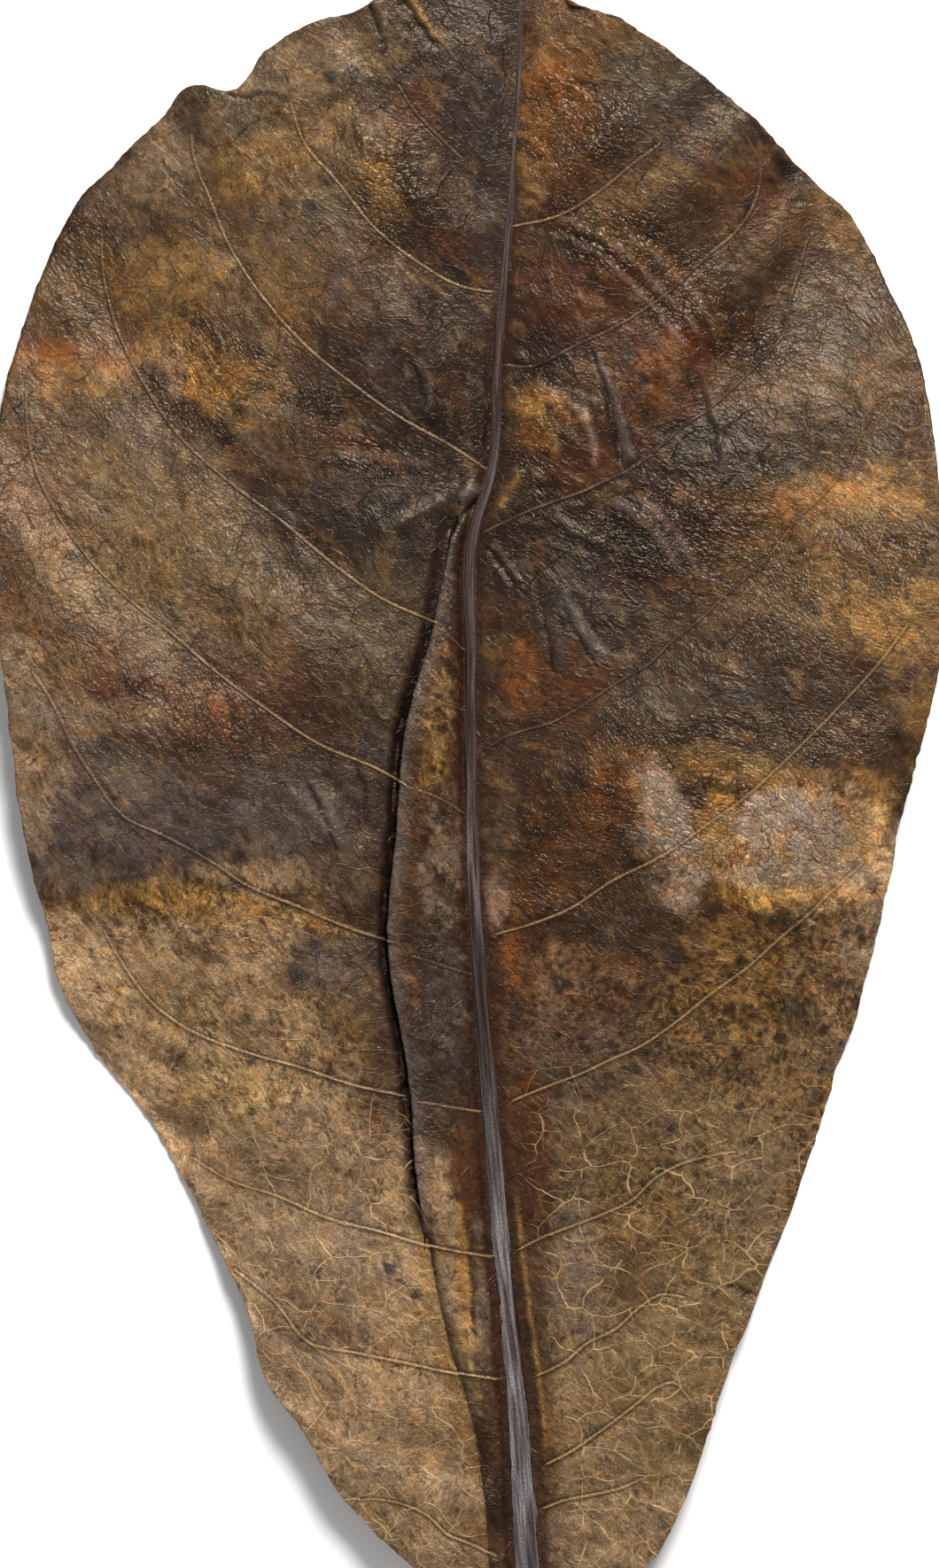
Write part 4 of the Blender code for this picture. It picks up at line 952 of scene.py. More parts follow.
class Surface:
    """Relief and colour of one sheet, built up in turn at every one of its places."""

    def __init__(self, half, layout):
        self.half = half
        distance, lift, self.zones = layout(half)
        self.x, self.y, t = half.place(distance)
        self.from_rib = distance - curve(MIDRIB, 2, half.y)
        base = half.height(self.x, self.y, t) + lift
        self.broad = above_table(base, SHEET_THICKNESS + TABLE_GAP)
        self.relief = np.zeros(self.x.shape)
        self.tint = np.ones((*self.x.shape, 3)) * PAINT["umber"]
        self.gloss = coverage(self.x, self.y, GLOSSY)
        self.crackle = coverage(self.x, self.y, SPECKLED)
        self.line = np.zeros((*self.x.shape, 3))
        self.line[..., 0] = FAR
        self.shape_wrinkles()
        self.shape_net()

    def shape_wrinkles(self):
        """Soft buckles, and sparse wrinkles of the dried skin."""
        x, y = self.x, self.y
        self.grain = turned(*DRIFT.moved(x, y, 16, 90, (31, 7)), GRAIN_TURN[self.half.side])
        along, across = self.grain
        buckle = DRIFT.rough(x / 60 + 3, y / 60, 3)
        sparse = ease(0.4 + 1.2 * MOTTLE(x / 60 + 25, y / 60) + 0.5 * self.gloss)
        coarse = bell(CRINKLE(along / WRINKLE_SIZE[0], across / WRINKLE_SIZE[1]), 0.13) * sparse
        lumps = GRIT.rough(along / LUMP_SIZE[0], across / LUMP_SIZE[1], 2)
        self.crinkle = (1.1 * coarse + 0.5 * lumps) * (0.5 + 0.9 * self.gloss)
        self.relief += BUCKLE_HEIGHT * buckle + CRINKLE_HEIGHT * self.crinkle

    def shape_net(self):
        """Ladders of finer veins between the side veins, and the net between those."""
        self.net_x, self.net_y = net_x, net_y = WANDER.moved(self.x, self.y, 9, 34, (9, 4))
        along, across = turned(net_x, net_y, LADDER_TURN[self.half.side])
        first, second, _ = cells(along / LADDER_SIZE[0], across / LADDER_SIZE[1], 101)
        self.ladder = bell((second - first) * LADDER_SIZE[1], NET_LINE_WIDTH)
        first, second, own = cells(net_x / NET_SIZE, net_y / NET_SIZE, 102)
        net = bell((second - first) * NET_SIZE, NET_LINE_WIDTH)
        _, _, small = cells(net_x / SMALL_SIZE, net_y / SMALL_SIZE, 103)
        self.step = 0.4 * (own - 0.5) + 0.4 * (small - 0.5) + 0.22 * GRIT(self.x / 7, self.y / 7)
        self.relief += LADDER_HEIGHT * self.ladder + NET_HEIGHT * net

    def mix_in(self, colour, mask):
        """Mixes the tint towards a colour of the palette."""
        self.tint = tinted(self.tint, colour, mask)

    def paint_washes(self, washes, edge, where=1.0):
        """Washes in turn, each over those before it."""
        first_seed, raggedness, softness = edge
        for seed, (colour, *wash) in enumerate(washes, first_seed):
            self.mix_in(colour, spread(self.x, self.y, wash, seed, raggedness * self.step, softness) * where)

    def paint_mottle(self):
        """Stains and bleached patches with ragged edges, from large to small, calmer low on the blade."""
        along, across = self.grain
        calm = 1 - 0.55 * begun(self.y, CALM_SPAN)
        for colour, reach, shift, level, strength in STAINS:
            value = MOTTLE.rough(along / (1.5 * reach) + shift, across / (0.7 * reach) - 0.7 * shift, 5)
            value = value + 0.4 * self.step
            self.mix_in(colour, calm * strength * ease((value - level) / 0.16))
        value = 1 + 0.16 * calm * MOTTLE.rough(along / 34, across / 14, 4) + 0.2 * self.step
        self.tint = self.tint * value[..., None]

    def paint_net(self):
        """Colour of the ladders, pale low on the blade and in a band on the right, and dark elsewhere."""
        x, y = self.x, self.y
        right_band = begun(x, RIGHT_BAND_SPAN) * (1 - begun(y, BAND_END_SPAN))
        right_band = right_band * (0.35 + 0.65 * begun(y, BAND_START_SPAN))
        open_blade = begun(self.from_rib, OPEN_BLADE_SPAN) * (1 - self.zones["strip"])
        self.pale = np.clip(begun(y, PALE_NET_SPAN) + 0.4 * right_band, 0, 1) * open_blade
        broken = ease(0.45 + 0.9 * PATCH.rough(x / 30 + 90, y / 30, 3))
        self.mix_in("vein_gold", 0.3 * self.pale * broken * self.ladder)
        self.mix_in("dark_brown", 0.3 * (1 - self.pale) * broken * self.ladder)

    def paint_speckles(self):
        """Small dark speckles, and the larger single spots."""
        x, y = self.x, self.y
        cover = 0.25 + self.crackle
        for size, seed, share in SPECKLES:
            first, _, own = cells(x / size, y / size, seed)
            radius = 0.16 + 0.22 * own
            patchy = ease((PATCH(x / 38 + seed, y / 38) + share * cover) / 0.5)
            dots = ease((radius - first) / 0.14) * patchy
            self.mix_in("dark_brown", 0.7 * dots * np.clip(cover, 0, 1))
        for spot_x, spot_y, radius in SPOTS:
            away = np.hypot(x - spot_x, y - spot_y) / radius + 0.5 * PATCH(x / 7, y / 7)
            self.mix_in("blue_black", 0.8 * ease((1.1 - away) / 0.5))

    def note_line(self, near, strength, pale):
        """Keeps a line's distance, strength and paleness at the places that it is the nearest line to."""
        kept = self.line.reshape(-1, 3)
        nearer = near.away < np.abs(kept[near.chosen, 0])
        at, away = near.chosen[nearer], near.away[nearer]
        kept[at, 0] = away * np.where(near.side[nearer] < 0, -1, 1)
        kept[at, 1] = strength[nearer] * ease((LINE_REACH - away) / (0.4 * LINE_REACH))
        kept[at, 2] = pale[nearer]

    def add_veins(self, veins):
        """Side veins as ridges between shallow trenches, with painted shade in the trenches."""
        relief, tint = self.relief.ravel(), self.tint.reshape(-1, 3)
        for path, width, height, inner, outer in veins:
            near = NearPath(self.x, self.y, path, LINE_REACH)
            taper = 1 - 0.5 * near.along
            wide = 0.5 * width * (1 - 0.35 * near.along)
            uneven = 1 + 0.3 * WANDER(near.x / 12, near.y / 12)
            trench = bell(near.away - 2.2 * wide, wide)
            ridge = VEIN_RIDGE * bell(near.away, wide) * uneven
            relief[near.chosen] += height * taper * (ridge - VEIN_TRENCH * trench)
            inner_pale, outer_pale = VEIN_PALENESS[inner], VEIN_PALENESS[outer]
            pale = inner_pale + (outer_pale - inner_pale) * ease(near.along * 1.6)
            pale = np.clip(pale + 0.35 * WANDER(near.x / 26 + 5, near.y / 26), 0, 1)
            near.stain(tint, "dark_brown", 0.4 * trench * taper)
            self.note_line(near, taper * (0.8 + 0.3 * WANDER(near.x / 20, near.y / 20)), pale)

    def add_creases(self, creases):
        """Creases and small folds, their middle wandering a little, with painted shade in the grooves and
        painted highlights on the ridges.
        """
        relief, tint = self.relief.ravel(), self.tint.reshape(-1, 3)
        for path, width, height, colour, strength in creases:
            near = NearPath(self.x, self.y, path, max(width * 3, LINE_REACH))
            away = near.away * np.where(near.side < 0, -1, 1) + 3 * WANDER(near.x / 17, near.y / 17)
            shape = bell(np.abs(away), width) * ease(arch(near.along) * 2.2)
            relief[near.chosen] += CREASE_SHARE * height * shape
            near.stain(tint, colour, strength * shape)

    def add_facets(self, facets):
        """Smooth matte folds with sharp edges, with painted shade along one side."""
        relief, tint, gloss = self.relief.ravel(), self.tint.reshape(-1, 3), self.gloss.ravel()
        for path, start_width, end_width, colour, strength in facets:
            near = NearPath(self.x, self.y, path, max(start_width, end_width) + FACET_MARGIN)
            wide = start_width + (end_width - start_width) * near.along
            edge = near.away - wide + 2 * WANDER(near.x / 14, near.y / 14)
            ends = ease(arch(near.along) * 4)
            inside = ease(-edge / FACET_EDGE) * ends
            shade = bell(edge, FACET_EDGE) * (near.side > 0) * ends
            lift = FACET_HEIGHT * inside * np.clip(1 - near.away / wide, 0, 1)
            relief[near.chosen] += lift - FACET_GROOVE * shade
            near.stain(tint, colour, strength * inside)
            near.stain(tint, "char_and_shade", 0.8 * shade)
            gloss[near.chosen] *= 1 - inside

    def add_flank(self):
        """Painted shade in the grooves beside the midrib, with a thin golden rim of painted highlight low
        down on the right.
        """
        away = self.from_rib + 1.5 * WANDER(self.x / 30, self.y / 22)
        shaded_flank = bell(np.clip(away, 0, None), FLANK_WIDTH)
        shown = begun(self.y, FLANK_SPAN)
        self.mix_in("maroon", 0.65 * shaded_flank * shown)
        self.relief -= FLANK_GROOVE * shaded_flank * shown
        if self.half.side > 0:
            shown = begun(self.y, RIM_START_SPAN) * (1 - begun(self.y, RIM_END_SPAN))
            rim = bell(away - RIM_AWAY, RIM_WIDTH) * shown
            self.mix_in("gold", 0.7 * rim)

    def add_fold_colour(self):
        """Painted shade beside the crease, painted shadow in the gap under the pleat, and painted highlights
        on its lips.
        """
        for colour, strength, zone in (
            ("dusk", 0.5, "crease"),
            ("rib_pale", 0.6, "upper_lip_highlight"),
            ("gold", 0.6, "low_lip_highlight"),
            ("char_and_shade", 1.0, "gap"),
        ):
            self.mix_in(colour, strength * self.zones[zone])

    def shade_crinkle(self):
        """Painted shade in the hollows of the crinkle and painted light on its crests, and light and dark
        colours drawn further apart.
        """
        value = 1.0 + 0.08 * np.clip(self.crinkle, -2.2, 1.8)
        value = value * (self.tint.mean(axis=-1) / MIDDLE_LIGHT) ** CONTRAST
        self.tint = self.tint * value[..., None]
        over = np.maximum(self.tint.max(axis=-1) / BRIGHTEST, 1)
        self.tint = np.maximum(self.tint / over[..., None], DARKEST)

    def upper(self):
        """World places of the upper face, and the sheet's smooth normals there."""
        places = world(self.x, self.y, self.broad)
        normals = grid_normals(places)
        return places + normals * (self.relief * MM)[..., None], normals


def world(x, y, height):
    """World places of plan places and heights in millimetres."""
    height = np.broadcast_to(height, x.shape)
    return np.stack([(x - PLAN_CENTRE[0]) * UNIT, (PLAN_CENTRE[1] - y) * UNIT, height * MM], axis=-1)


def grid_normals(places):
    """Unit normals of a grid whose columns run along +X and whose rows run along -Y."""
    normals = np.cross(np.gradient(places, axis=0), np.gradient(places, axis=1))
    return normals / np.linalg.norm(normals, axis=2)[..., None]


def border(grid):
    """Indices round a grid of vertices, clockwise seen from above, without repeating the first."""
    return np.concatenate([grid[0, :-1], grid[:-1, -1], grid[-1, :0:-1], grid[:0:-1, 0]]).tolist()


def four_sided(*corners):
    """Faces from four arrays of corner indices."""
    return np.stack(corners, axis=-1).reshape(-1, 4).tolist()


def shell_faces(rows, columns):
    """Faces of a closed shell: a fine upper grid, a coarser lower grid and the rim between them."""
    top = np.arange((rows + 1) * (columns + 1)).reshape(rows + 1, columns + 1)
    low_shape = rows // UNDERSIDE_CELLS + 1, columns // UNDERSIDE_CELLS + 1
    low = top.size + np.arange(low_shape[0] * low_shape[1]).reshape(low_shape)
    faces = four_sided(top[:-1, :-1], top[1:, :-1], top[1:, 1:], top[:-1, 1:])
    faces += four_sided(low[:-1, :-1], low[:-1, 1:], low[1:, 1:], low[1:, :-1])
    above, below = border(top), border(low)
    for k in range(len(below)):
        first = k * UNDERSIDE_CELLS
        run = [above[(first + step) % len(above)] for step in range(UNDERSIDE_CELLS + 1)]
        faces.append([*run, below[(k + 1) % len(below)], below[k]])
    return faces


def new_piece(name, vertices, faces, values, material):
    """A piece of the leaf as a mesh object that carries its colour, grain, gloss and lines."""
    mesh = bpy.data.meshes.new(name)
    mesh.from_pydata(vertices, [], faces)
    mesh.update()
    for key, value in values.items():
        kind, slot = "FLOAT_VECTOR", "vector"
        if key == "tint":
            kind, slot = "FLOAT_COLOR", "color"
            value = np.concatenate([value, np.ones((len(value), 1))], axis=1)
        mesh.attributes.new(key, kind, "POINT").data.foreach_set(slot, value.astype(np.float32).ravel())
    mesh.shade_smooth()
    mesh.materials.append(material)
    piece = bpy.data.objects.new(name, mesh)
    bpy.context.scene.collection.objects.link(piece)
    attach(piece, "root")
    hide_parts("leaf")


def build_sheet(name, surface, material):
    """One half of the blade as a closed thin shell."""
    upper, normals = surface.upper()
    coarse = (slice(None, None, UNDERSIDE_CELLS),) * 2
    lower = upper[coarse] - normals[coarse] * SHEET_THICKNESS * MM
    lower[..., 2] = np.maximum(lower[..., 2], 0.0)
    upper[..., 2] = np.maximum(upper[..., 2], LOWEST_UPPER * MM)
    along, across = surface.grain
    level = np.ones(along.shape)
    values = {
        "tint": surface.tint,
        "grain": np.stack([along, across, surface.half.side * level * 50], axis=-1) * UNIT / MM,
        "finish": np.stack([surface.gloss, surface.crackle, surface.pale], axis=-1),
        "line": surface.line * np.array([UNIT / MM, 1, 1]),
        "plan": np.stack([surface.net_x, surface.net_y, 0 * level], axis=-1) * UNIT / MM,
    }
    for key, value in values.items():
        values[key] = np.concatenate([value.reshape(-1, 3), value[coarse].reshape(-1, 3)])
    vertices = np.concatenate([upper.reshape(-1, 3), lower.reshape(-1, 3)])
    rows, columns = surface.x.shape
    new_piece(name, vertices, shell_faces(rows - 1, columns - 1), values, material)


RIB_STEPS = 620
RIB_AROUND = 28

# Roundness of the midrib's sides and of its top and bottom, and heights of its ridges in millimetres
SIDE_POWER = 0.8
TOP_POWER = 0.75
RIDGE_HEIGHT = 0.07
NOTCH_HEIGHT = 0.035

# Where the midrib's colours begin and end, in plan units. The lilac band is a painted highlight
RIB_LOW_SPAN = (1150, 400)
RIB_TOP_SPAN = (200, 260)
RIB_BASE_SPAN = (1700, 60)
LILAC_HIGHLIGHT_Y = 980
LILAC_HIGHLIGHT_REACH = 50


def build_midrib(material):
    """The midrib with its short stalk, as one closed bar with lengthwise ridges."""
    y = np.linspace(TIP_Y, STALK_END_Y, RIB_STEPS + 1)[:, None]
    turn = np.linspace(0, TAU, RIB_AROUND, endpoint=False)[None, :]
    centre_x, width, depth, lift = (curve(MIDRIB, column, y) for column in (1, 2, 3, 4))
    cosine, sine = np.cos(turn), np.sin(turn)
    share = np.sign(cosine) * np.abs(cosine) ** SIDE_POWER
    x = centre_x + width * share
    height = lift + depth * 0.5 * (1 + np.sign(sine) * np.abs(sine) ** TOP_POWER)
    ridges = CRINKLE(turn * 3.2 + 0.4 * WANDER(y / 60, turn), y / 150) + 0.6 * CRINKLE(turn * 7, y / 90 + 5)
    notches = CRINKLE(y / 22, turn * 2 + 30)
    swell = (RIDGE_HEIGHT * ridges + NOTCH_HEIGHT * notches) * (0.4 + 0.6 * width / 14)
    y_grid = np.broadcast_to(y, x.shape)
    places = world(x, y_grid, height)
    places[..., 0] += swell * cosine * MM
    places[..., 2] += swell * sine * MM
    places[..., 2] = np.maximum(places[..., 2], 0.0)
    vertices = places.reshape(-1, 3)
    ring = np.arange(len(vertices)).reshape(RIB_STEPS + 1, RIB_AROUND)
    after = np.roll(ring, -1, axis=1)
    faces = four_sided(ring[:-1], after[:-1], after[1:], ring[1:])
    faces += [ring[0][::-1].tolist(), ring[-1].tolist()]

    tint = np.ones((*x.shape, 3)) * PAINT["rib"]
    streak = CRINKLE(turn * 5 + 9, y / 120)
    low = begun(y, RIB_LOW_SPAN)
    for colour, mask in (
        ("char_and_shade", 0.75 * (1 - low)),
        ("steel", 0.8 * low),
        ("lilac_highlight", 0.3 * bell(y - LILAC_HIGHLIGHT_Y, LILAC_HIGHLIGHT_REACH) * ease(0.5 + streak)),
        ("rib_pale", (0.2 + 0.25 * low) * ease((streak - 0.05) / 0.4)),
        ("char_and_shade", 0.8 * ease((-0.02 - streak) / 0.4)),
        ("brown", 0.5 * ease(CRINKLE(turn * 2 + 60, y / 160) / 0.6)),
        ("maroon", 0.8 * ease((np.abs(share) - 0.72) / 0.25)),
        ("slate_dark", 0.8 * (1 - begun(y, RIB_TOP_SPAN))),
        ("blue_black", 0.6 * begun(y, RIB_BASE_SPAN) * ease(0.4 + streak)),
    ):
        tint = tinted(tint, colour, mask)
    grain = np.stack([y_grid, turn * width, np.zeros(x.shape)], axis=-1).reshape(-1, 3) * UNIT / MM
    values = {
        "tint": tint.reshape(-1, 3),
        "grain": grain,
        "finish": np.tile((-0.4, 0.0, 0.0), (x.size, 1)),
        "line": np.tile((FAR * UNIT / MM, 0.0, 0.0), (x.size, 1)),
        "plan": grain,
    }
    new_piece("midrib", vertices, faces, values, material)


def add_node(tree, kind, inputs, **settings):
    """A new node, each of its inputs linked to a channel or set to a fixed value."""
    node = tree.nodes.new(kind)
    for name, value in settings.items():
        setattr(node, name, value)
    for key, value in inputs.items():
        if isinstance(value, Channel):
            tree.links.new(value.socket, node.inputs[key])
        else:
            node.inputs[key].default_value = value
    return node


class Channel:
    """An output of a node. A formula of channels adds the nodes that work it out."""

    def __init__(self, socket):
        self.socket = socket

    def through(self, kind, inputs, output=0, **settings):
        """An output of a new node in the same material."""
        return Channel(add_node(self.socket.id_data, kind, inputs, **settings).outputs[output])

    def math(self, operation, first, second=0.0):
        """The outcome of one sum."""
        return self.through("ShaderNodeMath", {0: first, 1: second}, operation=operation)

    def __add__(self, other):
        return self.math("ADD", self, other)

    def __mul__(self, other):
        return self.math("MULTIPLY", self, other)

    def __sub__(self, other):
        return self.math("SUBTRACT", self, other)

    def __rsub__(self, other):
        return self.math("SUBTRACT", other, self)

    __radd__ = __add__
    __rmul__ = __mul__

    def highest(self, other):
        """The higher of two channels."""
        return self.math("MAXIMUM", self, other)

    def ramp(self, low, high, to_low, to_high):
        """A smooth step from one value to another, between two levels of the channel."""
        ends = {"From Min": low, "From Max": high, "To Min": to_low, "To Max": to_high}
        return self.through("ShaderNodeMapRange", {"Value": self, **ends}, interpolation_type="SMOOTHSTEP")

    def bell(self, width):
        """1 where the channel is 0, falling to 0 over about the width on either side."""
        scaled = self.math("DIVIDE", self, width)
        return self.math("EXPONENT", scaled * scaled * -1.0)

    def parts(self, kind="ShaderNodeSeparateXYZ"):
        """The three channels of a vector or a colour."""
        return [Channel(output) for output in add_node(self.socket.id_data, kind, {0: self}).outputs]

    def placed(self, along, across, seed):
        """Texture coordinates for cells of a length and breadth in millimetres, moved by the seed."""
        inputs = {"Vector": self, "Scale": (1 / along, 1 / across, 1), "Location": (seed, seed * 1.7, 0)}
        return self.through("ShaderNodeMapping", inputs)

    def noise(self, layer, output="Fac", **settings):
        """Noise with bumps of a length and breadth in millimetres, from a row of numbers."""
        along, across, detail, seed = layer
        inputs = {"Vector": self.placed(along, across, seed), "Scale": 1.0, "Detail": detail}
        return self.through("ShaderNodeTexNoise", inputs, output, **settings)

    def folds(self, layer):
        """Sharp crests along the grain, from about 0.2 in the hollows to 1 and more on the crests."""
        return self.noise(layer, noise_type="RIDGED_MULTIFRACTAL")

    def shaken(self, layer, reach):
        """The coordinates moved about by noise."""
        inputs = {0: self.noise(layer, "Color"), 1: (reach, reach, 0), 2: self}
        return self.through("ShaderNodeVectorMath", inputs, operation="MULTIPLY_ADD")

    def voronoi(self, feature, output):
        """A pattern of cells over these coordinates."""
        inputs = {"Vector": self, "Scale": 1.0}
        return self.through("ShaderNodeTexVoronoi", inputs, output, feature=feature, voronoi_dimensions="2D")

    def cell_number(self):
        """A random number from 0 to 1 for each cell."""
        return self.voronoi("F1", "Color").parts("ShaderNodeSeparateColor")[0]

    def cells(self, layer):
        """A net of cells: distance to its nearest line in cells, and a random number for each cell."""
        place = self.placed(*layer)
        return place.voronoi("DISTANCE_TO_EDGE", "Distance"), place.cell_number()

    def mix(self, first, second):
        """A colour that goes from the first to the second as this channel goes from 0 to 1."""
        return self.through("ShaderNodeMix", {0: self, 6: first, 7: second}, 2, data_type="RGBA")

    def filtered(self, factors):
        """A colour with its red, green and blue multiplied."""
        return self.through("ShaderNodeVectorMath", {0: self, 1: factors}, operation="MULTIPLY")

    def scaled(self, value):
        """A colour made brighter or darker."""
        return self.through("ShaderNodeVectorMath", {0: self, "Scale": value}, operation="SCALE")


# Noise of the skin: length and breadth of its bumps in millimetres, detail and seed
FINE_GRAIN = (0.3, 0.3, 2, 1)
SHAKE = (0.9, 0.9, 3, 51)
FOLDS = (1.7, 0.62, 2, 23)
LONG_FOLDS = (6.0, 2.6, 1, 37)
SCALES = (0.95, 0.5, 1, 43)
DEPTH_PATCHES = (4.0, 3.0, 2, 29)
DOT_PATCHES = (2.6, 2.6, 3, 81)
KINKS = (1.8, 1.8, 1, 61)
RUNGS = (9.0, 2.6, 0, 57)
NET_BREAKS = (2.6, 2.6, 2, 95)
RIB_STREAKS = (9.0, 0.34, 3, 23)

# Cells: length and breadth in millimetres, and seed
SKIN_CELLS = (1.15, 0.62, 3)
DOTS = (0.5, 0.5, 71)
FINE_NET = (3.0, 2.1, 13)
WIDE_NET = (6.4, 4.6, 17)

# How noise becomes brightness: its level at the dark and at the bright end, and the brightness there.
# For the folds and the scales this is painted shade in their hollows and painted light on their crests, and
# painted glints on the glossy folds
FINE_TONE = (0.3, 0.7, 0.7, 1.36)
SCALE_SHADE_AND_LIGHT = (0.15, 1.05, 0.64, 1.38)
FOLD_SHADE_AND_LIGHT = (0.15, 1.15, 0.72, 1.4)
GLOSSY_FOLD_SHADE_AND_GLINT = (0.2, 1.2, -0.5, 0.9)
CELL_TONE = (0.0, 1.0, 0.78, 1.26)
NET_CELL_TONE = (0.0, 1.0, 0.88, 1.12)
STREAK_TONE = (0.36, 0.64, 0.4, 1.3)
VEIN_TONE = (0.3, 0.7, 0.75, 1.25)

# Where things show: level of the noise where they are weakest and strongest, and their strength there
DEEP_FOLDS = (0.42, 0.62, 0.5, 1.0)
SHOWN_SEAMS = (0.56, 0.44, 0.2, 1.0)
CELL_DOMES = (0.0, 0.4, 0.0, 1.0)
SHOWN_DOTS = (1.68, 1.82, 0.0, 0.55)
SHOWN_RUNGS = (0.94, 0.995, 0.0, 0.8)
UNBROKEN_NET = (0.4, 0.54, 0.1, 1.0)
# Painted golden glints on the crests of the folds
GOLDEN_CREST_GLINTS = (0.75, 1.35, 0.0, 0.6)

# Blotches that shift the colour: noise, where they show, and factors for red, green and blue
BLOTCHES = [
    ((3.4, 2.2, 5, 111), (0.46, 0.66, 0.0, 0.9), (1.4, 1.08, 0.64)),
    ((3.0, 2.2, 5, 121), (0.48, 0.66, 0.0, 0.9), (0.8, 0.68, 0.68)),
]

# Heights of the skin's relief in millimetres
FINE_HEIGHT = 0.05
FOLD_HEIGHT = 0.15
LONG_FOLD_HEIGHT = 0.16
SCALE_HEIGHT = 0.06
DOME_HEIGHT = 0.05
SEAM_DEPTH = 0.03
FINE_VEIN_HEIGHT = 0.07
VEIN_HEIGHT = 0.1
VEIN_GROOVE = 0.06
STREAK_HEIGHT = 0.3

# Half widths of lines: in cells for the seams and the nets, in millimetres for the veins
SEAM_WIDTH = 0.08
FINE_NET_WIDTH = 0.026
WIDE_NET_WIDTH = 0.015
VEIN_WIDTH = 0.14
GROOVE_WIDTH = 0.15
GROOVE_AWAY = 0.32

SHAKE_REACH = 1.3
KINK_REACH = 0.7
ROUGHNESS = 0.37
GLOSS_SMOOTHNESS = 0.12
FINE_ROUGHNESS = (0.3, 0.7, 0.06, -0.06)
SPECULAR_LEVEL = 0.3
SPECULAR_TINT = (1.0, 0.84, 0.64, 1)


def ink(name):
    """A colour of the palette for a node."""
    return (*PAINT[name], 1)


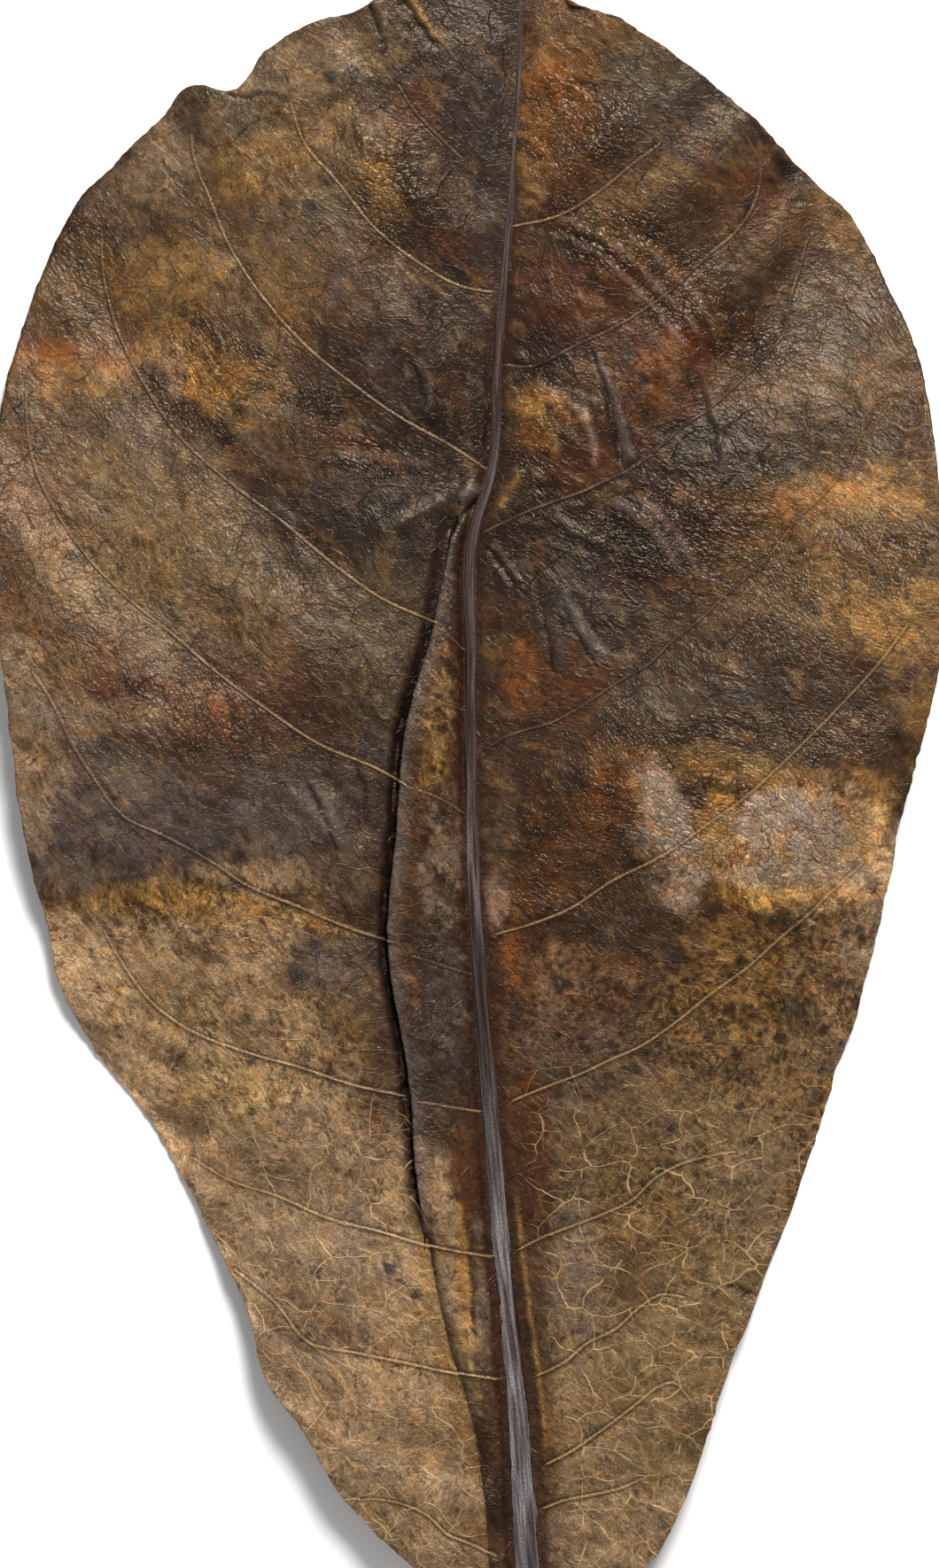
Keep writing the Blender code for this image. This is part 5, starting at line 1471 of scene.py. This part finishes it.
class Skin:
    """A material whose colour, brightness and height are built up layer by layer."""

    def __init__(self, name):
        self.material = bpy.data.materials.new(name)
        self.material.use_nodes = True
        self.colour = self.attribute("tint", "Color")
        self.grain = self.attribute("grain")
        self.gloss, self.crackle, self.pale = self.attribute("finish").parts()
        self.fine = self.grain.noise(FINE_GRAIN)
        self.value = self.fine.ramp(*FINE_TONE)
        self.height = self.fine * FINE_HEIGHT

    def attribute(self, name, output="Vector"):
        """A value that the pieces carry at each of their places."""
        node = add_node(self.material.node_tree, "ShaderNodeAttribute", {}, attribute_name=name)
        return Channel(node.outputs[output])

    def add_folds(self):
        """Sharp small folds, deeper in some places and where the sheet is glossy, with painted shade in the
        hollows of the folds and scales and painted light on their crests.
        """
        self.moved = self.grain.shaken(SHAKE, SHAKE_REACH)
        self.folds = self.moved.folds(FOLDS)
        self.patch = self.grain.noise(DEPTH_PATCHES)
        self.rich = (self.patch + self.gloss * 0.14).ramp(*DEEP_FOLDS)
        self.height += self.folds * (self.rich * (FOLD_HEIGHT + self.gloss * 0.06))
        self.height += self.moved.folds(LONG_FOLDS) * LONG_FOLD_HEIGHT
        scales = self.moved.folds(SCALES)
        self.height += scales * (SCALE_HEIGHT + self.gloss * 0.04)
        self.value *= scales.ramp(*SCALE_SHADE_AND_LIGHT)
        self.value *= self.folds.ramp(*FOLD_SHADE_AND_LIGHT)

    def add_cells(self):
        """Small cells of the dried skin between dark seams."""
        edge, own = self.moved.cells(SKIN_CELLS)
        self.value *= own.ramp(*CELL_TONE)
        shown = self.patch.ramp(*SHOWN_SEAMS).highest(self.gloss)
        seam = edge.bell(SEAM_WIDTH + self.crackle * 0.06) * shown
        darkness = 0.36 + self.crackle * 0.26 + self.gloss * 0.2
        self.height += edge.ramp(*CELL_DOMES) * (self.gloss * DOME_HEIGHT)
        self.value *= 1.0 - seam * darkness
        self.height -= seam * SEAM_DEPTH

    def add_dots(self):
        """Small dark dots, more of them where the sheet is speckled."""
        level = self.crackle * 0.34 + self.grain.noise(DOT_PATCHES) * 1.5
        dark = (self.moved.placed(*DOTS).cell_number() + level).ramp(*SHOWN_DOTS)
        self.colour = dark.mix(self.colour, ink("speck"))

    def add_blotches(self):
        """Amber and dusky blotches, stronger where the sheet is glossy."""
        lively = 0.45 + self.gloss * 0.5
        for layer, shown, factors in BLOTCHES:
            blotch = self.moved.noise(layer).ramp(*shown) * lively
            self.colour = blotch.mix(self.colour, self.colour.filtered(factors))

    def add_net(self):
        """The net of the finest veins, broken here and there."""
        kinked = self.attribute("plan").shaken(KINKS, KINK_REACH)
        edge, own = kinked.cells(FINE_NET)
        wide_edge, _ = kinked.cells(WIDE_NET)
        self.value *= own.ramp(*NET_CELL_TONE)
        net = (edge.bell(FINE_NET_WIDTH) * 0.45).highest(kinked.folds(RUNGS).ramp(*SHOWN_RUNGS))
        net = net.highest(wide_edge.bell(WIDE_NET_WIDTH) * 1.3)
        self.net = net * self.grain.noise(NET_BREAKS).ramp(*UNBROKEN_NET)
        self.height += self.net * FINE_VEIN_HEIGHT

    def add_pale_net_and_glints(self):
        """The pale net, and painted golden glints on the crests of the folds, over the finished colour."""
        self.colour = (self.net * self.pale * 0.6).mix(self.colour, ink("net_gold"))
        self.colour = (self.folds.ramp(*GOLDEN_CREST_GLINTS) * self.rich).mix(self.colour, ink("crest_glint_gold"))

    def add_veins(self):
        """The side veins as thin ridges between grooves of painted shade."""
        away, strength, paleness = self.attribute("line").parts()
        ridge = away.bell(VEIN_WIDTH) * strength
        groove = (away.math("ABSOLUTE", away) - GROOVE_AWAY).bell(GROOVE_WIDTH) * strength
        vein = paleness.mix(ink("vein_dark"), ink("vein_light")).scaled(self.fine.ramp(*VEIN_TONE))
        self.colour = (groove * 0.8).mix(self.colour, ink("vein_shade"))
        self.colour = (ridge * 0.85).mix(self.colour, vein)
        self.height += ridge * VEIN_HEIGHT
        self.height -= groove * VEIN_GROOVE

    def connect(self):
        """Links the finished layers to the shader."""
        tree = self.material.node_tree
        shader = tree.nodes["Principled BSDF"]
        shader.inputs["Specular Tint"].default_value = SPECULAR_TINT
        shader.inputs["Specular IOR Level"].default_value = SPECULAR_LEVEL
        rough = ROUGHNESS - self.gloss * GLOSS_SMOOTHNESS + self.fine.ramp(*FINE_ROUGHNESS)
        bump = add_node(tree, "ShaderNodeBump", {"Strength": 1.0, "Distance": MM, "Height": self.height})
        tree.links.new(self.colour.socket, shader.inputs["Base Color"])
        tree.links.new(rough.socket, shader.inputs["Roughness"])
        tree.links.new(bump.outputs[0], shader.inputs["Normal"])
        return self.material


def blade_material():
    """Dried skin with folds, cells, dots, blotches, the net and the veins."""
    skin = Skin("dried leaf")
    skin.add_folds()
    skin.add_cells()
    skin.add_dots()
    skin.add_blotches()
    skin.add_net()
    # Painted shade in the hollows and painted glints on the crests of the glossy folds
    sharp = skin.folds.ramp(*GLOSSY_FOLD_SHADE_AND_GLINT) * skin.gloss
    skin.colour = skin.colour.scaled(skin.value * (1.0 + sharp))
    skin.add_pale_net_and_glints()
    skin.add_veins()
    return skin.connect()


def midrib_material():
    """Lengthwise streaks of the midrib and the stalk."""
    skin = Skin("dried midrib")
    streaks = skin.grain.noise(RIB_STREAKS)
    skin.height += streaks * STREAK_HEIGHT
    skin.colour = skin.colour.scaled(skin.value * streaks.ramp(*STREAK_TONE))
    return skin.connect()


FLOOR_SIZE = 4.0
FLOOR_DROP = 0.0001
FLOOR_COLOUR = (0.95, 0.95, 0.95, 1)
FLOOR_ROUGHNESS = 0.9
WORLD_LIGHT = 0.24


def floor_material():
    """Plain pale matte floor."""
    material = bpy.data.materials.new("floor")
    material.use_nodes = True
    shader = material.node_tree.nodes["Principled BSDF"]
    shader.inputs["Base Color"].default_value = FLOOR_COLOUR
    shader.inputs["Roughness"].default_value = FLOOR_ROUGHNESS
    return material


LIGHT_TARGET = (0, 0, 0)

# Soft lights aimed at the leaf: name, place, size, power and colour
LIGHTS = [
    ("key light", (0.15, 0.5, 0.54), 0.22, 8.9, (1, 0.99, 0.97)),
    ("left fill light", (-0.75, 0.0, 0.42), 0.9, 1.7, (1, 0.99, 0.98)),
    ("right fill light", (0.5, -0.6, 0.42), 0.9, 1.3, (1, 0.99, 0.98)),
]


def add_light(name, place, size, power, colour):
    """A square area light aimed at the leaf."""
    data = bpy.data.lights.new(name, "AREA")
    data.shape = "SQUARE"
    data.size = size
    data.energy = power
    data.color = colour
    light = bpy.data.objects.new(name, data)
    bpy.context.scene.collection.objects.link(light)
    light.location = place
    light.rotation_mode = "QUATERNION"
    light.rotation_quaternion = (Vector(LIGHT_TARGET) - Vector(place)).to_track_quat("-Z", "Y")
    light.visible_camera = False


def build_stage():
    """Plain pale floor and soft light."""
    mesh = bpy.data.meshes.new("floor")
    half = FLOOR_SIZE / 2
    corners = [(-half, -half, 0), (half, -half, 0), (half, half, 0), (-half, half, 0)]
    mesh.from_pydata(corners, [], [(0, 1, 2, 3)])
    mesh.materials.append(floor_material())
    floor = bpy.data.objects.new("floor", mesh)
    floor.location.z = -FLOOR_DROP
    bpy.context.scene.collection.objects.link(floor)

    background = bpy.data.worlds.new("studio")
    background.use_nodes = True
    shade = background.node_tree.nodes["Background"]
    shade.inputs["Color"].default_value = (1, 1, 1, 1)
    shade.inputs["Strength"].default_value = WORLD_LIGHT
    bpy.context.scene.world = background
    for row in LIGHTS:
        add_light(*row)


PHOTO_CENTRE = (530, 885)
PHOTO_HEIGHT = 1770
LENS = 85
SENSOR = 36
LEAF_LEVEL = 0.004


def add_camera():
    """A camera straight above that sees what the photograph shows."""
    data = bpy.data.cameras.new("camera")
    data.lens = LENS
    data.sensor_width = SENSOR
    camera = bpy.data.objects.new("camera", data)
    bpy.context.scene.collection.objects.link(camera)
    right = (PHOTO_CENTRE[0] - PLAN_CENTRE[0]) * UNIT
    up = (PLAN_CENTRE[1] - PHOTO_CENTRE[1]) * UNIT
    camera.location = (right, up, LEAF_LEVEL + PHOTO_HEIGHT * UNIT * LENS / SENSOR)
    bpy.context.scene.camera = camera


def build_blade(name, half, layout, tables, material):
    """Paints and shapes one half of the blade, in the order in which one thing lies over another."""
    ground, washes, strip_washes, veins, creases, facets = tables
    surface = Surface(half, layout)
    on_strip = surface.zones["strip"]
    surface.paint_washes(ground, GROUND_EDGE)
    surface.paint_washes(washes, WASH_EDGE, 1 - on_strip)
    surface.mix_in("umber", on_strip)
    surface.paint_washes(strip_washes, STRIP_EDGE, on_strip)
    surface.paint_mottle()
    surface.paint_net()
    surface.paint_speckles()
    surface.add_veins(veins)
    surface.add_creases(creases)
    surface.add_facets(facets)
    surface.add_flank()
    surface.shade_crinkle()
    surface.add_fold_colour()
    build_sheet(name, surface, material)


def main():
    """Both halves of the blade, the midrib, the stage and the camera."""
    material, rib_material = blade_material(), midrib_material()
    left_half = Half(LEFT_ROWS, LEFT_MARGIN, LEFT_HEIGHTS, side=-1)
    right_half = Half(RIGHT_ROWS, RIGHT_MARGIN, RIGHT_HEIGHTS, side=1)
    left_tables = LEFT_GROUND, LEFT_WASHES, STRIP_WASHES, LEFT_VEINS + STRIP_VEINS, LEFT_CREASES, LEFT_FACETS
    right_tables = RIGHT_GROUND, RIGHT_WASHES, (), RIGHT_VEINS, RIGHT_CREASES, RIGHT_FACETS
    build_blade("blade_left", left_half, left_layout, left_tables, material)
    build_blade("blade_right", right_half, right_layout, right_tables, material)
    build_midrib(rib_material)
    build_stage()
    add_camera()
    bpy.context.scene.view_settings.view_transform = "Standard"


main()
